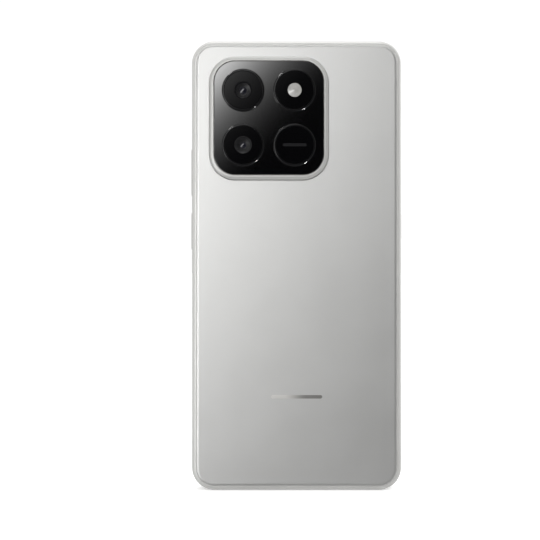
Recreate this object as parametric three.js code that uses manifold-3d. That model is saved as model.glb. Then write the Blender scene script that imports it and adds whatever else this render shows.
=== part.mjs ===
// A smartphone with a satin rear cover and a raised camera island, as an assembly of separate pieces.
//
// Lengths are millimetres. Every piece is drawn in the phone's own layout, as if it lay on its screen and
// were looked at from behind: x runs right, y runs up from the lower edge, and z is the height above the
// screen's outer face. The last lines stand the whole phone on its lower edge, with its rear towards -Y.

import * as THREE from "three";
import { mergeVertices } from "three/addons/utils/BufferGeometryUtils.js";
import Module from "manifold-3d";

const wasm = await Module();
wasm.setup();

// ---------------------------------------------------------------------------------------------------
// Driving dimensions
// ---------------------------------------------------------------------------------------------------

// The whole phone
const PHONE_WIDTH = 76.0; // across the side frame, without the keys
const PHONE_HEIGHT = 162.8;
const BODY_THICKNESS = 8.2; // from screen to rear cover, without the camera island
const CORNER_RADIUS = 8.1;

// Clearances
const LAYER_GAP = 0.05; // between layers that lie on, or are glued to, each other
const EDGE_GAP = 0.08; // round a piece that is let into another
const SLIDE_GAP = 0.15; // round a piece that moves in an opening
const PART_GAP = 0.3; // between neighbours on the boards
const OVERCUT = 20; // how far a cutting body runs past the piece it cuts
const OVERLAP = 0.1; // how far a body runs into the one it is joined to

// Side frame
const FRAME_WALL = 3.0; // from the outer side to the cavity
const FRAME_REAR = { drop: 0.25, inset: 1.6, rise: 1.65 }; // shoulder beside the rear cover
const FRAME_FRONT = { drop: 0.35, inset: 0.75, rise: 1.55 }; // shoulder beside the front glass
const SIDE_LEVEL = 4.1; // height of the keys, socket and holes above the screen's face

// Rear cover
const COVER = { inset: 1.9, thickness: 0.8, edgeWidth: 0.85, edgeRise: 0.45 };

// Front glass and display
const GLASS = { inset: 1.2, thickness: 0.7, edgeWidth: 0.5, edgeRise: 0.35 };
const EAR_SLIT = { length: 11, depth: 0.5 };
const TAPE = { thickness: 0.2, margin: 0.12 };
const PANEL = { thickness: 1.05, topMargin: 2.2 };
const MID_PLATE_THICKNESS = 0.55;

// Camera island
const ISLAND = { width: 43.1, height: 44.5, radius: 9.4, fromLeft: 6.4, fromTop: 6.0 };
const TRIM = { rise: 1.5, edgeWidth: 1.3, edgeRise: 1.0, border: 1.85, flange: 0.9, flangeThickness: 0.3 };
const TRIM_WINDOW_RADIUS = 5.0; // round each camera's barrel
const PLATE = { thickness: 0.7, proud: 0.15, edge: 0.15 };
const LENS_PITCH = { x: 18.5, y: 19.7 };
const RING = { radius: 7.67, rise: 0.75, bevel: 0.4, wall: 0.75, seat: 1.5, spigotInset: 0.65 };
const LENS_GLASS = { thickness: 0.45, recess: 0.08, edge: 0.12 };
const FLASH_LENS_RADIUS = 2.5;

// Camera modules
const MAIN_CAMERA = { size: 11.2, barrelRadius: 4.6, irisRadius: 2.9, irisDepth: 1.0 };
const SECOND_CAMERA = { size: 9.6, barrelRadius: 4.0, irisRadius: 2.6, irisDepth: 0.9 };
const FLASH_BOARD = { radius: 3.6, thickness: 0.8, ledSize: 2.0, ledHeight: 0.6 };
const FRONT_CAMERA = { size: 6.0, thickness: 2.1, barrelRadius: 1.9, fromTop: 10.0 };
const EARPIECE = { length: 15, width: 3.0, thickness: 2.1 };
const EAR_VENT = { length: 10, width: 1.0, fromTop: 1.0 }; // through the mid plate, before the earpiece
const PROXIMITY = { length: 3.2, width: 2.2, thickness: 1.2, fromCentre: 12.0 };

// Boards
const BOARD = { thickness: 0.65, sideRoom: 2.4, edgeRoom: 2.3, radius: 2.5 };
const MAIN_BOARD_HEIGHT = 50.5;
const CONNECTOR_STRIP = 7.5; // lower margin of the main board, kept free for plugs
const SUB_BOARD = { height: 18.0, right: 7.0, lowerRoom: 1.0 };
const SHIELD = { wall: 0.2, radius: 0.8 };
const PROCESSOR = { size: 13.0, thickness: 0.55, padMargin: 0.5 };
const CHIP_SHIELD_WIDTH = 16.5;
const PROCESSOR_SHIELD_HEIGHT = 17.0;
const RADIO_SHIELD_HEIGHT = 14.0;
const POWER_SHIELD_HEIGHT = 18.0;
const SHIELD_GAP = 1.2; // between neighbouring cans
const RADIO_GAP = 3.0; // between the processor's can and the radio's
const BOARD_COVER_THICKNESS = 0.5;
const NFC_COIL = { height: 24.0, strip: 2.2, radius: 3.0 };
const GRAPHITE = { margin: 3.5, thickness: 0.15 }; // the coil lies in the same layer

// Battery and flexible circuits
const BATTERY = { sideRoom: 3.5, endRoom: 2.4, radius: 1.6, edge: 0.7 };
const FLEX_THICKNESS = 0.15;
const MAIN_FLEX = { x: -14.0, width: 12.0, tail: 5.0 };
const DISPLAY_FLEX = { x: 0.5, width: 10.0, tail: 4.5, slot: 1.2 };
const BATTERY_FLEX = { fromSide: 17.0, width: 8.0, tail: 4.8, thickness: 0.25 };
const ANTENNA_CABLE = { radius: 0.45, fromBattery: 0.25, aboveBoard: 0.1, aboveFloor: 1.0 };

// Lower end
const USB = { width: 8.94, height: 3.16, wall: 0.3, depth: 7.4, back: 0.8, setBack: 0.6, around: 0.15 };
const USB_TONGUE = { width: 6.7, thickness: 0.7, setBack: 0.8, radius: 0.2 };
const SPEAKER = { leftRoom: 1.5, rightRoom: 1.7, height: 17.0, thickness: 4.0, radius: 1.5, edge: 0.3 };
const SPEAKER_HOLE = { count: 5, radius: 0.75, pitch: 3.0 };
const MICROPHONE = { width: 3.8, height: 3.0, thickness: 0.9, x: -14.0, holeRadius: 0.5 };
const MOTOR = { radius: 5.0, thickness: 2.2, fromSide: 11.0 };

// Keys: centre below the upper edge, and length along the side
const VOLUME_KEY = { fromTop: 47.4, length: 17.3 };
const POWER_KEY = { fromTop: 68.8, length: 13.6 };
const SIDE_KEY = { fromTop: 67.1, length: 10.3 };
const KEY = { height: 2.3, protrusion: 0.3, edge: 0.25, travel: 0.25 };
const KEY_LIP = { thickness: 0.5, height: 3.0, extra: 1.2, radius: 0.6 }; // extra is past each end
const ROCK_ANGLE = 1.4; // degrees that the volume key turns each way
const SWITCH = { thickness: 0.7, height: 2.6, radius: 0.4, domeRadius: 0.9, domeRise: 0.3, reach: 0.35 };

// Card tray
const TRAY_DOOR = { length: 15.6, height: 2.0, depth: 1.6 };
const TRAY_BLADE = { width: 13.4, thickness: 0.8, radius: 0.1 };
const TRAY_REACH = 23.0; // from the phone's side to the blade's inner end
const TRAY_FROM_TOP = 40.8; // its centre, below the upper edge
const CARD = { length: 8.9, width: 11.4, gap: 1.0 };
const READER = { thickness: 2.1, wall: 0.8 };
const EJECT_HOLE = { radius: 0.45, fromDoor: 1.6 };

// Screws
const SCREW = { shankRadius: 0.7, holeRadius: 0.85, bossRadius: 1.6 };
const SCREW_HEAD = { radius: 1.2, height: 0.3, topRadius: 0.96, band: 0.18 }; // band is its upright rim
const SCREW_SIDE_ROOM = 4.1; // from the cavity's wall to a screw's axis
const SCREW_TO_CAN = 0.4; // from a screw's head to the can beside it
const MAIN_SCREWS = { fromTop: 1.5, middle: 29.0, plugRoom: 1.0 }; // middle is above the board's lower edge
const SUB_SCREWS = { fromTop: 2.7, fromRight: 3.0, lowX: -9.0, fromBottom: 2.8 };

// Smoothness: an outline's corner is divided into twice CORNER_STEPS
const CORNER_STEPS = 3;
const ROUND_SIDES = 28;
const SMALL_SIDES = 16;
const SCREW_SIDES = 8;

// ---------------------------------------------------------------------------------------------------
// Heights of the layers, worked out from the screen to the rear
// ---------------------------------------------------------------------------------------------------

const glassRear = GLASS.thickness;
const frontTape = glassRear + LAYER_GAP;
const frontLedge = frontTape + TAPE.thickness + LAYER_GAP;
const panelRear = frontTape + PANEL.thickness;
const midPlateFront = panelRear + LAYER_GAP;
const midPlateRear = midPlateFront + MID_PLATE_THICKNESS;
const floor = midPlateRear + LAYER_GAP;

const coverFront = BODY_THICKNESS - COVER.thickness;
const rearTape = coverFront - LAYER_GAP - TAPE.thickness;
const rearLedge = rearTape - LAYER_GAP;

const readerFront = floor + EDGE_GAP;
const readerRear = readerFront + READER.thickness;
const trayLevel = (readerFront + readerRear) / 2;
const boardFront = readerRear + LAYER_GAP;
const boardRear = boardFront + BOARD.thickness;
const onBoard = boardRear + LAYER_GAP;

const trimFlangeRear = coverFront - LAYER_GAP;
const trimFlangeFront = trimFlangeRear - TRIM.flangeThickness;
const boardCoverRear = trimFlangeFront - LAYER_GAP;
const boardCoverFront = boardCoverRear - BOARD_COVER_THICKNESS;
const shieldRear = boardCoverFront - LAYER_GAP;

const graphiteFront = coverFront - 2 * LAYER_GAP - GRAPHITE.thickness;
const flexFront = graphiteFront - LAYER_GAP - FLEX_THICKNESS;
const batteryRear = flexFront - LAYER_GAP;

const trimTop = BODY_THICKNESS + TRIM.rise;
const plateTop = trimTop + PLATE.proud;
const plateBottom = plateTop - PLATE.thickness;
const trimFloor = plateBottom - LAYER_GAP;
const ringFlange = plateTop + LAYER_GAP;
const ringTop = ringFlange + RING.rise;
const lensGlassTop = ringTop - LENS_GLASS.recess;
const lensGlassBottom = lensGlassTop - LENS_GLASS.thickness;
const ringSeat = lensGlassBottom - LAYER_GAP;

// ---------------------------------------------------------------------------------------------------
// Places across the phone
// ---------------------------------------------------------------------------------------------------

const halfWidth = PHONE_WIDTH / 2;
const cavityHalf = halfWidth - FRAME_WALL;
const cavityBottom = FRAME_WALL;
const cavityTop = PHONE_HEIGHT - FRAME_WALL;

const island = {
  x: -halfWidth + ISLAND.fromLeft + ISLAND.width / 2,
  y: PHONE_HEIGHT - ISLAND.fromTop - ISLAND.height / 2,
};
const lensLeft = island.x - LENS_PITCH.x / 2;
const lensRight = island.x + LENS_PITCH.x / 2;
const lensUpper = island.y + LENS_PITCH.y / 2;
const lensLower = island.y - LENS_PITCH.y / 2;
const lensPlaces = {
  main: [lensLeft, lensUpper],
  second: [lensLeft, lensLower],
  flash: [lensRight, lensUpper],
  sensor: [lensRight, lensLower],
};

const trayCentre = PHONE_HEIGHT - TRAY_FROM_TOP;

const mainBoardTop = cavityTop - BOARD.edgeRoom;
const mainBoardBottom = mainBoardTop - MAIN_BOARD_HEIGHT;
const boardHalf = cavityHalf - BOARD.sideRoom;
const boardCoverBottom = mainBoardBottom + CONNECTOR_STRIP;
const subBoardBottom = cavityBottom + SUB_BOARD.lowerRoom;
const subBoardTop = subBoardBottom + SUB_BOARD.height;
const batteryBottom = subBoardTop + BATTERY.endRoom;
const batteryTop = mainBoardBottom - BATTERY.endRoom;

const screwSide = cavityHalf - SCREW_SIDE_ROOM;

// The cans stand in two columns, from the second camera to the screws on the right
const chipColumnRight = screwSide - SCREW_HEAD.radius - SCREW_TO_CAN;
const chipColumnLeft = chipColumnRight - CHIP_SHIELD_WIDTH;
const chipColumn = (chipColumnLeft + chipColumnRight) / 2;
const powerColumnLeft = lensLeft + SECOND_CAMERA.size / 2 + 3 * PART_GAP;
const powerColumnRight = chipColumnLeft - SHIELD_GAP;

const screwTop = mainBoardTop - MAIN_SCREWS.fromTop;
const plugRow = mainBoardBottom + SCREW.bossRadius + MAIN_SCREWS.plugRoom;
const coverScrews = [
  [-screwSide, screwTop],
  [screwSide, screwTop],
  [screwSide, mainBoardBottom + MAIN_SCREWS.middle],
];
const boardScrews = [
  [-screwSide, plugRow],
  [screwSide, plugRow],
];
const subScrewRow = subBoardTop - SUB_SCREWS.fromTop;
const subBoardScrews = [
  [-screwSide, subScrewRow],
  [SUB_BOARD.right - SUB_SCREWS.fromRight, subScrewRow],
  [SUB_SCREWS.lowX, subBoardBottom + SUB_SCREWS.fromBottom],
];

// ---------------------------------------------------------------------------------------------------
// Outlines and simple bodies
// ---------------------------------------------------------------------------------------------------

/** A rectangle with round corners, centred on (x, y). */
function roundedOutline(width, height, radius, x = 0, y = 0) {
  const right = width / 2 - radius;
  const up = height / 2 - radius;
  const shape = new THREE.Shape();
  const corners = [
    [right, up],
    [-right, up],
    [-right, -up],
    [right, -up],
  ];
  corners.forEach(([cx, cy], i) => {
    const start = (i * Math.PI) / 2;
    shape.absarc(x + cx, y + cy, radius, start, start + Math.PI / 2, false);
  });
  return shape;
}

/** The phone's own outline, brought in by a distance all round. */
function phoneOutline(inset) {
  return roundedOutline(
    PHONE_WIDTH - 2 * inset,
    PHONE_HEIGHT - 2 * inset,
    CORNER_RADIUS - inset,
    0,
    PHONE_HEIGHT / 2,
  );
}

/** The camera island's outline, brought in by a distance, or let out by a negative one. */
function islandOutline(inset) {
  return roundedOutline(
    ISLAND.width - 2 * inset,
    ISLAND.height - 2 * inset,
    ISLAND.radius - inset,
    island.x,
    island.y,
  );
}

/** A flat body with square edges, from one height to another. */
function slab(outline, low, high) {
  const geometry = new THREE.ExtrudeGeometry(outline, {
    depth: high - low,
    bevelEnabled: false,
    curveSegments: CORNER_STEPS,
  });
  return geometry.translate(0, 0, low);
}

/** A flat body with rounded upper and lower edges: width is measured across it and rise up its wall. */
function softSlab(outline, low, high, width, rise, steps = 4) {
  const geometry = new THREE.ExtrudeGeometry(outline, {
    depth: high - low - 2 * rise,
    bevelEnabled: true,
    bevelSize: width,
    bevelOffset: -width,
    bevelThickness: rise,
    bevelSegments: steps,
    curveSegments: CORNER_STEPS,
  });
  return geometry.translate(0, 0, low + rise);
}

/** A rectangular block between two corners. */
function block([x0, y0, z0], [x1, y1, z1]) {
  const geometry = new THREE.BoxGeometry(x1 - x0, y1 - y0, z1 - z0);
  return geometry.translate((x0 + x1) / 2, (y0 + y1) / 2, (z0 + z1) / 2);
}

/** A round body standing on the phone's layers. */
function disc(radius, low, high, [x, y], sides = ROUND_SIDES) {
  const geometry = new THREE.CylinderGeometry(radius, radius, high - low, sides);
  return geometry.rotateX(Math.PI / 2).translate(x, y, (low + high) / 2);
}

/** A turned body about an upright axis. The profile is a list of [radius, height]. */
function turned(profile, [x, y], sides = ROUND_SIDES) {
  const points = profile.map(([radius, height]) => new THREE.Vector2(radius, height));
  const geometry = new THREE.LatheGeometry(points, sides);
  return geometry.rotateX(Math.PI / 2).translate(x, y, 0);
}

/** A strip of constant width across x, whose section is a polyline of [y, z] points given a thickness. */
function strip(route, thickness, x, width) {
  const half = thickness / 2;
  const sides = [1, -1].map((side) => offsetRoute(route, side * half));
  const outline = [...sides[0], ...sides[1].reverse()];
  const shape = new THREE.Shape(outline.map(([y, z]) => new THREE.Vector2(y, z)));
  const geometry = new THREE.ExtrudeGeometry(shape, { depth: width, bevelEnabled: false });
  // The section was drawn as (y, z) and pushed along its own normal, which becomes x.
  geometry.applyMatrix4(
    new THREE.Matrix4().makeBasis(
      new THREE.Vector3(0, 1, 0),
      new THREE.Vector3(0, 0, 1),
      new THREE.Vector3(1, 0, 0),
    ),
  );
  return geometry.translate(x - width / 2, 0, 0);
}

/** Points beside a polyline, mitred where it turns. */
function offsetRoute(route, distance) {
  return route.map(([y, z], i) => {
    const before = route[Math.max(i - 1, 0)];
    const after = route[Math.min(i + 1, route.length - 1)];
    const into = i > 0 ? direction(before, [y, z]) : direction([y, z], after);
    const out = i < route.length - 1 ? direction([y, z], after) : into;
    const normal = new THREE.Vector2(-into.y - out.y, into.x + out.x).normalize();
    const stretch = distance / (normal.x * -into.y + normal.y * into.x);
    return [y + normal.x * stretch, z + normal.y * stretch];
  });
}

function direction([y0, z0], [y1, z1]) {
  return new THREE.Vector2(y1 - y0, z1 - z0).normalize();
}

// A body drawn with its outline in x and y and its depth along z is turned to look out of a side:
// the outline's x then runs along that side, its y runs through the phone, and its z points outwards.
const FACINGS = {
  right: [new THREE.Vector3(0, 1, 0), new THREE.Vector3(0, 0, 1), new THREE.Vector3(1, 0, 0)],
  left: [new THREE.Vector3(0, -1, 0), new THREE.Vector3(0, 0, 1), new THREE.Vector3(-1, 0, 0)],
  down: [new THREE.Vector3(1, 0, 0), new THREE.Vector3(0, 0, 1), new THREE.Vector3(0, -1, 0)],
};

/** Turns a body outwards and puts its own origin at a point of the phone. */
function facing(geometry, side, x, y, z) {
  return geometry.applyMatrix4(new THREE.Matrix4().makeBasis(...FACINGS[side])).translate(x, y, z);
}

/** An outline with round ends. */
function pill(length, height) {
  const radius = height / 2;
  const shape = new THREE.Shape();
  shape.absarc(length / 2 - radius, 0, radius, -Math.PI / 2, Math.PI / 2, false);
  shape.absarc(radius - length / 2, 0, radius, Math.PI / 2, 1.5 * Math.PI, false);
  return shape;
}

function circle(radius) {
  return new THREE.Shape().absarc(0, 0, radius, 0, 2 * Math.PI, false);
}

// ---------------------------------------------------------------------------------------------------
// Joining and cutting
// ---------------------------------------------------------------------------------------------------

function toSolid(geometry) {
  const bare = geometry.clone();
  bare.deleteAttribute("normal");
  bare.deleteAttribute("uv");
  const merged = mergeVertices(bare, 1e-4);
  return new wasm.Manifold(
    new wasm.Mesh({
      numProp: 3,
      vertProperties: new Float32Array(merged.attributes.position.array),
      triVerts: new Uint32Array(merged.index.array),
    }),
  );
}

function toGeometry(solid) {
  const mesh = solid.getMesh();
  const geometry = new THREE.BufferGeometry();
  geometry.setAttribute("position", new THREE.BufferAttribute(mesh.vertProperties, 3));
  geometry.setIndex(new THREE.BufferAttribute(mesh.triVerts, 1));
  geometry.computeVertexNormals();
  return geometry;
}

function cut(base, tools) {
  const solid = tools.reduce((rest, tool) => rest.subtract(toSolid(tool)), toSolid(base));
  return toGeometry(solid);
}

function join(bodies) {
  const solid = bodies.slice(1).reduce((sum, body) => sum.add(toSolid(body)), toSolid(bodies[0]));
  return toGeometry(solid);
}

function common(first, second) {
  return toGeometry(toSolid(first).intersect(toSolid(second)));
}

// ---------------------------------------------------------------------------------------------------
// The assembly
// ---------------------------------------------------------------------------------------------------

const phone = new THREE.Group();

const FINISHES = {
  satinSilver: [0xb6b7b5, 0.42, 0.35],
  frameSilver: [0xa9aaa9, 0.35, 0.6],
  trimSilver: [0xb4b5b3, 0.35, 0.5],
  blackGlass: [0x0a0a0b, 0.08, 0.0],
  blackTrim: [0x101012, 0.25, 0.2],
  clearGlass: [0x18181c, 0.05, 0.0],
  flashLens: [0xd8d8d2, 0.3, 0.0],
  display: [0x060608, 0.2, 0.0],
  adhesive: [0x1c1c1c, 0.9, 0.0],
  magnesium: [0x8d9092, 0.55, 0.8],
  batteryFoil: [0x2a2b2d, 0.6, 0.1],
  boardGreen: [0x14503a, 0.5, 0.0],
  canSteel: [0xb9bcc0, 0.35, 0.9],
  chip: [0x17181a, 0.45, 0.0],
  cableBlack: [0x151515, 0.6, 0.0],
  flexAmber: [0xa5641c, 0.45, 0.0],
  plasticBlack: [0x1a1b1d, 0.6, 0.0],
  copper: [0xb06a3a, 0.4, 0.8],
  thermalGrey: [0x8c9098, 0.8, 0.0],
  graphite: [0x3a3b3d, 0.5, 0.3],
  screwSteel: [0x8f9296, 0.35, 0.9],
};

/** Adds one piece of the phone as a mesh with a material of its own. */
function piece(name, finish, geometry) {
  const [color, roughness, metalness] = FINISHES[finish];
  const material = new THREE.MeshStandardMaterial({ color, roughness, metalness });
  const mesh = new THREE.Mesh(geometry, material);
  mesh.name = name;
  phone.add(mesh);
}

// ---- Side frame: one band, open at front and rear, with a ledge for each glued panel ----

// The volume key rocks about its middle, so its lip stands off the wall by what its ends swing outwards.
const rockerHalf = VOLUME_KEY.length / 2 + KEY_LIP.extra;
const rockerSwing = rockerHalf * Math.sin(THREE.MathUtils.degToRad(ROCK_ANGLE));
const keyPlaces = [
  { name: "volume_key", side: "left", x: -halfWidth, lipGap: EDGE_GAP + rockerSwing, ...VOLUME_KEY },
  { name: "power_key", side: "left", x: -halfWidth, lipGap: EDGE_GAP, ...POWER_KEY },
  { name: "side_key", side: "right", x: halfWidth, lipGap: EDGE_GAP, ...SIDE_KEY },
];

function keySlot({ side, x, fromTop, length }) {
  const outline = pill(length + 2 * SLIDE_GAP, KEY.height + 2 * SLIDE_GAP);
  return facing(slab(outline, -FRAME_WALL - 1, 1), side, x, PHONE_HEIGHT - fromTop, SIDE_LEVEL);
}

function trayOpenings() {
  const door = pill(TRAY_DOOR.length + 2 * EDGE_GAP, TRAY_DOOR.height + 2 * EDGE_GAP);
  const pinY = trayCentre - TRAY_DOOR.length / 2 - EJECT_HOLE.fromDoor;
  return [
    facing(slab(door, -FRAME_WALL - 1, 1), "right", halfWidth, trayCentre, trayLevel),
    facing(slab(circle(EJECT_HOLE.radius), -FRAME_WALL - 1, 1), "right", halfWidth, pinY, trayLevel),
  ];
}

const speakerLeft = SUB_BOARD.right + SPEAKER.leftRoom;
const speakerRight = cavityHalf - SPEAKER.rightRoom;
const speakerX = (speakerLeft + speakerRight) / 2;
const speakerHoles = Array.from({ length: SPEAKER_HOLE.count }, (_, i) => {
  return speakerX + (i - (SPEAKER_HOLE.count - 1) / 2) * SPEAKER_HOLE.pitch;
});

function lowerOpenings() {
  const socket = pill(USB.width + 2 * USB.around, USB.height + 2 * USB.around);
  const through = (outline, x) => facing(slab(outline, -FRAME_WALL - 1, 1), "down", x, 0, SIDE_LEVEL);
  return [
    through(socket, 0),
    through(circle(MICROPHONE.holeRadius), MICROPHONE.x),
    ...speakerHoles.map((x) => through(circle(SPEAKER_HOLE.radius), x)),
  ];
}

function sideFrame() {
  const rearTop = BODY_THICKNESS - FRAME_REAR.drop;
  const towardsRear = softSlab(phoneOutline(0), -OVERCUT, rearTop, FRAME_REAR.inset, FRAME_REAR.rise, 4);
  const towardsFront = softSlab(
    phoneOutline(0),
    FRAME_FRONT.drop,
    OVERCUT,
    FRAME_FRONT.inset,
    FRAME_FRONT.rise,
    3,
  );
  return cut(common(towardsRear, towardsFront), [
    slab(phoneOutline(FRAME_WALL), -OVERCUT, OVERCUT),
    slab(phoneOutline(COVER.inset - EDGE_GAP), rearLedge, OVERCUT),
    slab(phoneOutline(GLASS.inset - EDGE_GAP), -OVERCUT, frontLedge),
    ...keyPlaces.map(keySlot),
    ...trayOpenings(),
    ...lowerOpenings(),
  ]);
}

piece("side_frame", "frameSilver", sideFrame());

// ---- Rear cover and its glue ----

function glueFrame(outerInset, low) {
  const outer = slab(phoneOutline(outerInset + TAPE.margin), low, low + TAPE.thickness);
  return cut(outer, [slab(phoneOutline(FRAME_WALL - TAPE.margin), low - 1, low + 1)]);
}

function rearCover() {
  const whole = softSlab(
    phoneOutline(COVER.inset),
    -OVERCUT,
    BODY_THICKNESS,
    COVER.edgeWidth,
    COVER.edgeRise,
    4,
  );
  return cut(whole, [
    slab(phoneOutline(0), -2 * OVERCUT, coverFront),
    slab(islandOutline(-EDGE_GAP), -OVERCUT, OVERCUT),
  ]);
}

piece("rear_cover", "satinSilver", rearCover());
piece("cover_adhesive", "adhesive", glueFrame(COVER.inset, rearTape));

// ---- Front glass, display and the plate behind it ----

const frontCamera = [0, PHONE_HEIGHT - FRONT_CAMERA.fromTop];

function frontGlass() {
  const whole = softSlab(phoneOutline(GLASS.inset), 0, OVERCUT, GLASS.edgeWidth, GLASS.edgeRise, 3);
  const glassTop = PHONE_HEIGHT - GLASS.inset;
  const slitLow = [-EAR_SLIT.length / 2, glassTop - EAR_SLIT.depth, -OVERCUT];
  const slitHigh = [EAR_SLIT.length / 2, glassTop + OVERCUT, OVERCUT];
  return cut(whole, [slab(phoneOutline(0), glassRear, 2 * OVERCUT), block(slitLow, slitHigh)]);
}

function displayPanel() {
  const width = 2 * (cavityHalf - TAPE.margin);
  const bottom = cavityBottom + TAPE.margin;
  const top = cavityTop - PANEL.topMargin;
  const radius = CORNER_RADIUS - FRAME_WALL - TAPE.margin;
  const outline = roundedOutline(width, top - bottom, radius, 0, (top + bottom) / 2);
  const eye = disc(FRONT_CAMERA.barrelRadius + SLIDE_GAP, 0, OVERCUT, frontCamera, SMALL_SIDES);
  return cut(slab(outline, frontTape, panelRear), [eye]);
}

const displayFlexY = (batteryTop + mainBoardBottom) / 2;

function midPlate() {
  const plate = slab(phoneOutline(FRAME_WALL + EDGE_GAP), midPlateFront, midPlateRear);
  const allScrews = [...coverScrews, ...boardScrews, ...subBoardScrews];
  const bosses = allScrews.map((at) => {
    return disc(SCREW.bossRadius, midPlateFront + OVERLAP, boardFront - LAYER_GAP, at, SCREW_SIDES);
  });
  const holes = allScrews.map((at) => disc(SCREW.holeRadius, 0, OVERCUT, at, SCREW_SIDES));
  const flexHalf = DISPLAY_FLEX.width / 2 + PART_GAP;
  const flexSlot = block(
    [DISPLAY_FLEX.x - flexHalf, displayFlexY - DISPLAY_FLEX.slot / 2, 0],
    [DISPLAY_FLEX.x + flexHalf, displayFlexY + DISPLAY_FLEX.slot / 2, OVERCUT],
  );
  const eye = disc(FRONT_CAMERA.barrelRadius + SLIDE_GAP, 0, OVERCUT, frontCamera, SMALL_SIDES);
  const ventTop = cavityTop - EAR_VENT.fromTop;
  const vent = block(
    [-EAR_VENT.length / 2, ventTop - EAR_VENT.width, 0],
    [EAR_VENT.length / 2, ventTop, OVERCUT],
  );
  return cut(join([plate, ...bosses]), [...holes, flexSlot, eye, vent]);
}

function displayFlex() {
  const low = midPlateFront;
  const height = onBoard + FLEX_THICKNESS / 2;
  const route = [
    [displayFlexY, low],
    [displayFlexY, height],
    [mainBoardBottom + DISPLAY_FLEX.tail, height],
  ];
  return strip(route, FLEX_THICKNESS, DISPLAY_FLEX.x, DISPLAY_FLEX.width);
}

piece("front_glass", "blackGlass", frontGlass());
piece("display_adhesive", "adhesive", glueFrame(GLASS.inset, frontTape));
piece("display_panel", "display", displayPanel());
piece("mid_plate", "magnesium", midPlate());
piece("display_flex", "flexAmber", displayFlex());

// ---- Camera island: plateau, glass plate, and four raised discs ----

function cameraTrim() {
  const plateau = softSlab(islandOutline(0), -OVERCUT, trimTop, TRIM.edgeWidth, TRIM.edgeRise, 4);
  const flange = slab(islandOutline(-TRIM.flange), trimFlangeFront, trimFlangeRear);
  const windows = Object.values(lensPlaces).map((at) => disc(TRIM_WINDOW_RADIUS, 0, OVERCUT, at));
  return cut(join([plateau, flange]), [
    slab(phoneOutline(0), -2 * OVERCUT, trimFlangeFront),
    slab(islandOutline(TRIM.border - EDGE_GAP), trimFloor, OVERCUT),
    ...windows,
  ]);
}

function cameraPlate() {
  const outline = islandOutline(TRIM.border);
  const whole = softSlab(outline, plateBottom, plateTop, PLATE.edge, PLATE.edge, 2);
  const windows = Object.values(lensPlaces).map((at) => {
    return disc(RING.radius - RING.spigotInset + EDGE_GAP, 0, OVERCUT, at);
  });
  return cut(whole, windows);
}

function lensRing(at) {
  const outer = RING.radius;
  const spigot = RING.radius - RING.spigotInset;
  const pocket = RING.radius - RING.wall;
  const opening = pocket - RING.seat;
  return turned(
    [
      [opening, plateBottom],
      [spigot, plateBottom],
      [spigot, ringFlange],
      [outer, ringFlange],
      [outer, ringTop - RING.bevel],
      [outer - RING.bevel, ringTop],
      [pocket, ringTop],
      [pocket, ringSeat],
      [opening, ringSeat],
      [opening, plateBottom],
    ],
    at,
  );
}

const lensGlassRadius = RING.radius - RING.wall - EDGE_GAP;

function lensGlass(at) {
  const edge = LENS_GLASS.edge;
  return turned(
    [
      [0, lensGlassBottom],
      [lensGlassRadius, lensGlassBottom],
      [lensGlassRadius, lensGlassTop - edge],
      [lensGlassRadius - edge, lensGlassTop],
      [0, lensGlassTop],
    ],
    at,
  );
}

function flashInsert(at) {
  return cut(lensGlass(at), [disc(FLASH_LENS_RADIUS + EDGE_GAP, 0, OVERCUT, at, SMALL_SIDES)]);
}

piece("camera_trim", "trimSilver", cameraTrim());
piece("camera_plate", "blackGlass", cameraPlate());
for (const [name, at] of Object.entries(lensPlaces)) {
  piece(`${name}_ring`, "blackTrim", lensRing(at));
}
piece("main_lens_glass", "clearGlass", lensGlass(lensPlaces.main));
piece("second_lens_glass", "clearGlass", lensGlass(lensPlaces.second));
piece("sensor_window", "blackGlass", lensGlass(lensPlaces.sensor));
piece("flash_insert", "blackGlass", flashInsert(lensPlaces.flash));
piece(
  "flash_lens",
  "flashLens",
  disc(FLASH_LENS_RADIUS, lensGlassBottom, lensGlassTop, lensPlaces.flash, SMALL_SIDES),
);

// ---- Cameras and small parts behind the windows ----

function cameraModule({ size, barrelRadius, irisRadius, irisDepth }, at) {
  const half = size / 2;
  const bodyTop = trimFlangeFront - LAYER_GAP;
  const body = block([at[0] - half, at[1] - half, floor], [at[0] + half, at[1] + half, bodyTop]);
  const barrelTop = ringSeat - PART_GAP;
  const barrel = disc(barrelRadius, bodyTop - OVERLAP, barrelTop, at);
  const iris = disc(irisRadius, barrelTop - irisDepth, OVERCUT, at, SMALL_SIDES);
  return cut(join([body, barrel]), [iris]);
}

function flashBoard() {
  const [x, y] = lensPlaces.flash;
  const top = lensGlassBottom - LAYER_GAP - FLASH_BOARD.ledHeight;
  const half = FLASH_BOARD.ledSize / 2;
  const led = block([x - half, y - half, top - OVERLAP], [x + half, y + half, top + FLASH_BOARD.ledHeight]);
  return join([disc(FLASH_BOARD.radius, top - FLASH_BOARD.thickness, top, [x, y], SMALL_SIDES), led]);
}

function frontCameraModule() {
  const half = FRONT_CAMERA.size / 2;
  const [x, y] = frontCamera;
  const body = block([x - half, y - half, floor], [x + half, y + half, floor + FRONT_CAMERA.thickness]);
  const barrel = disc(FRONT_CAMERA.barrelRadius, frontTape, floor + OVERLAP, frontCamera, SMALL_SIDES);
  return join([body, barrel]);
}

function earpiece() {
  const top = cavityTop - PART_GAP;
  const half = EARPIECE.length / 2;
  const low = [-half, top - EARPIECE.width, floor];
  return block(low, [half, top, floor + EARPIECE.thickness]);
}

function proximitySensor() {
  const x = PROXIMITY.fromCentre;
  const top = cavityTop - PART_GAP;
  const low = [x - PROXIMITY.length / 2, top - PROXIMITY.width, floor];
  return block(low, [x + PROXIMITY.length / 2, top, floor + PROXIMITY.thickness]);
}

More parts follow.
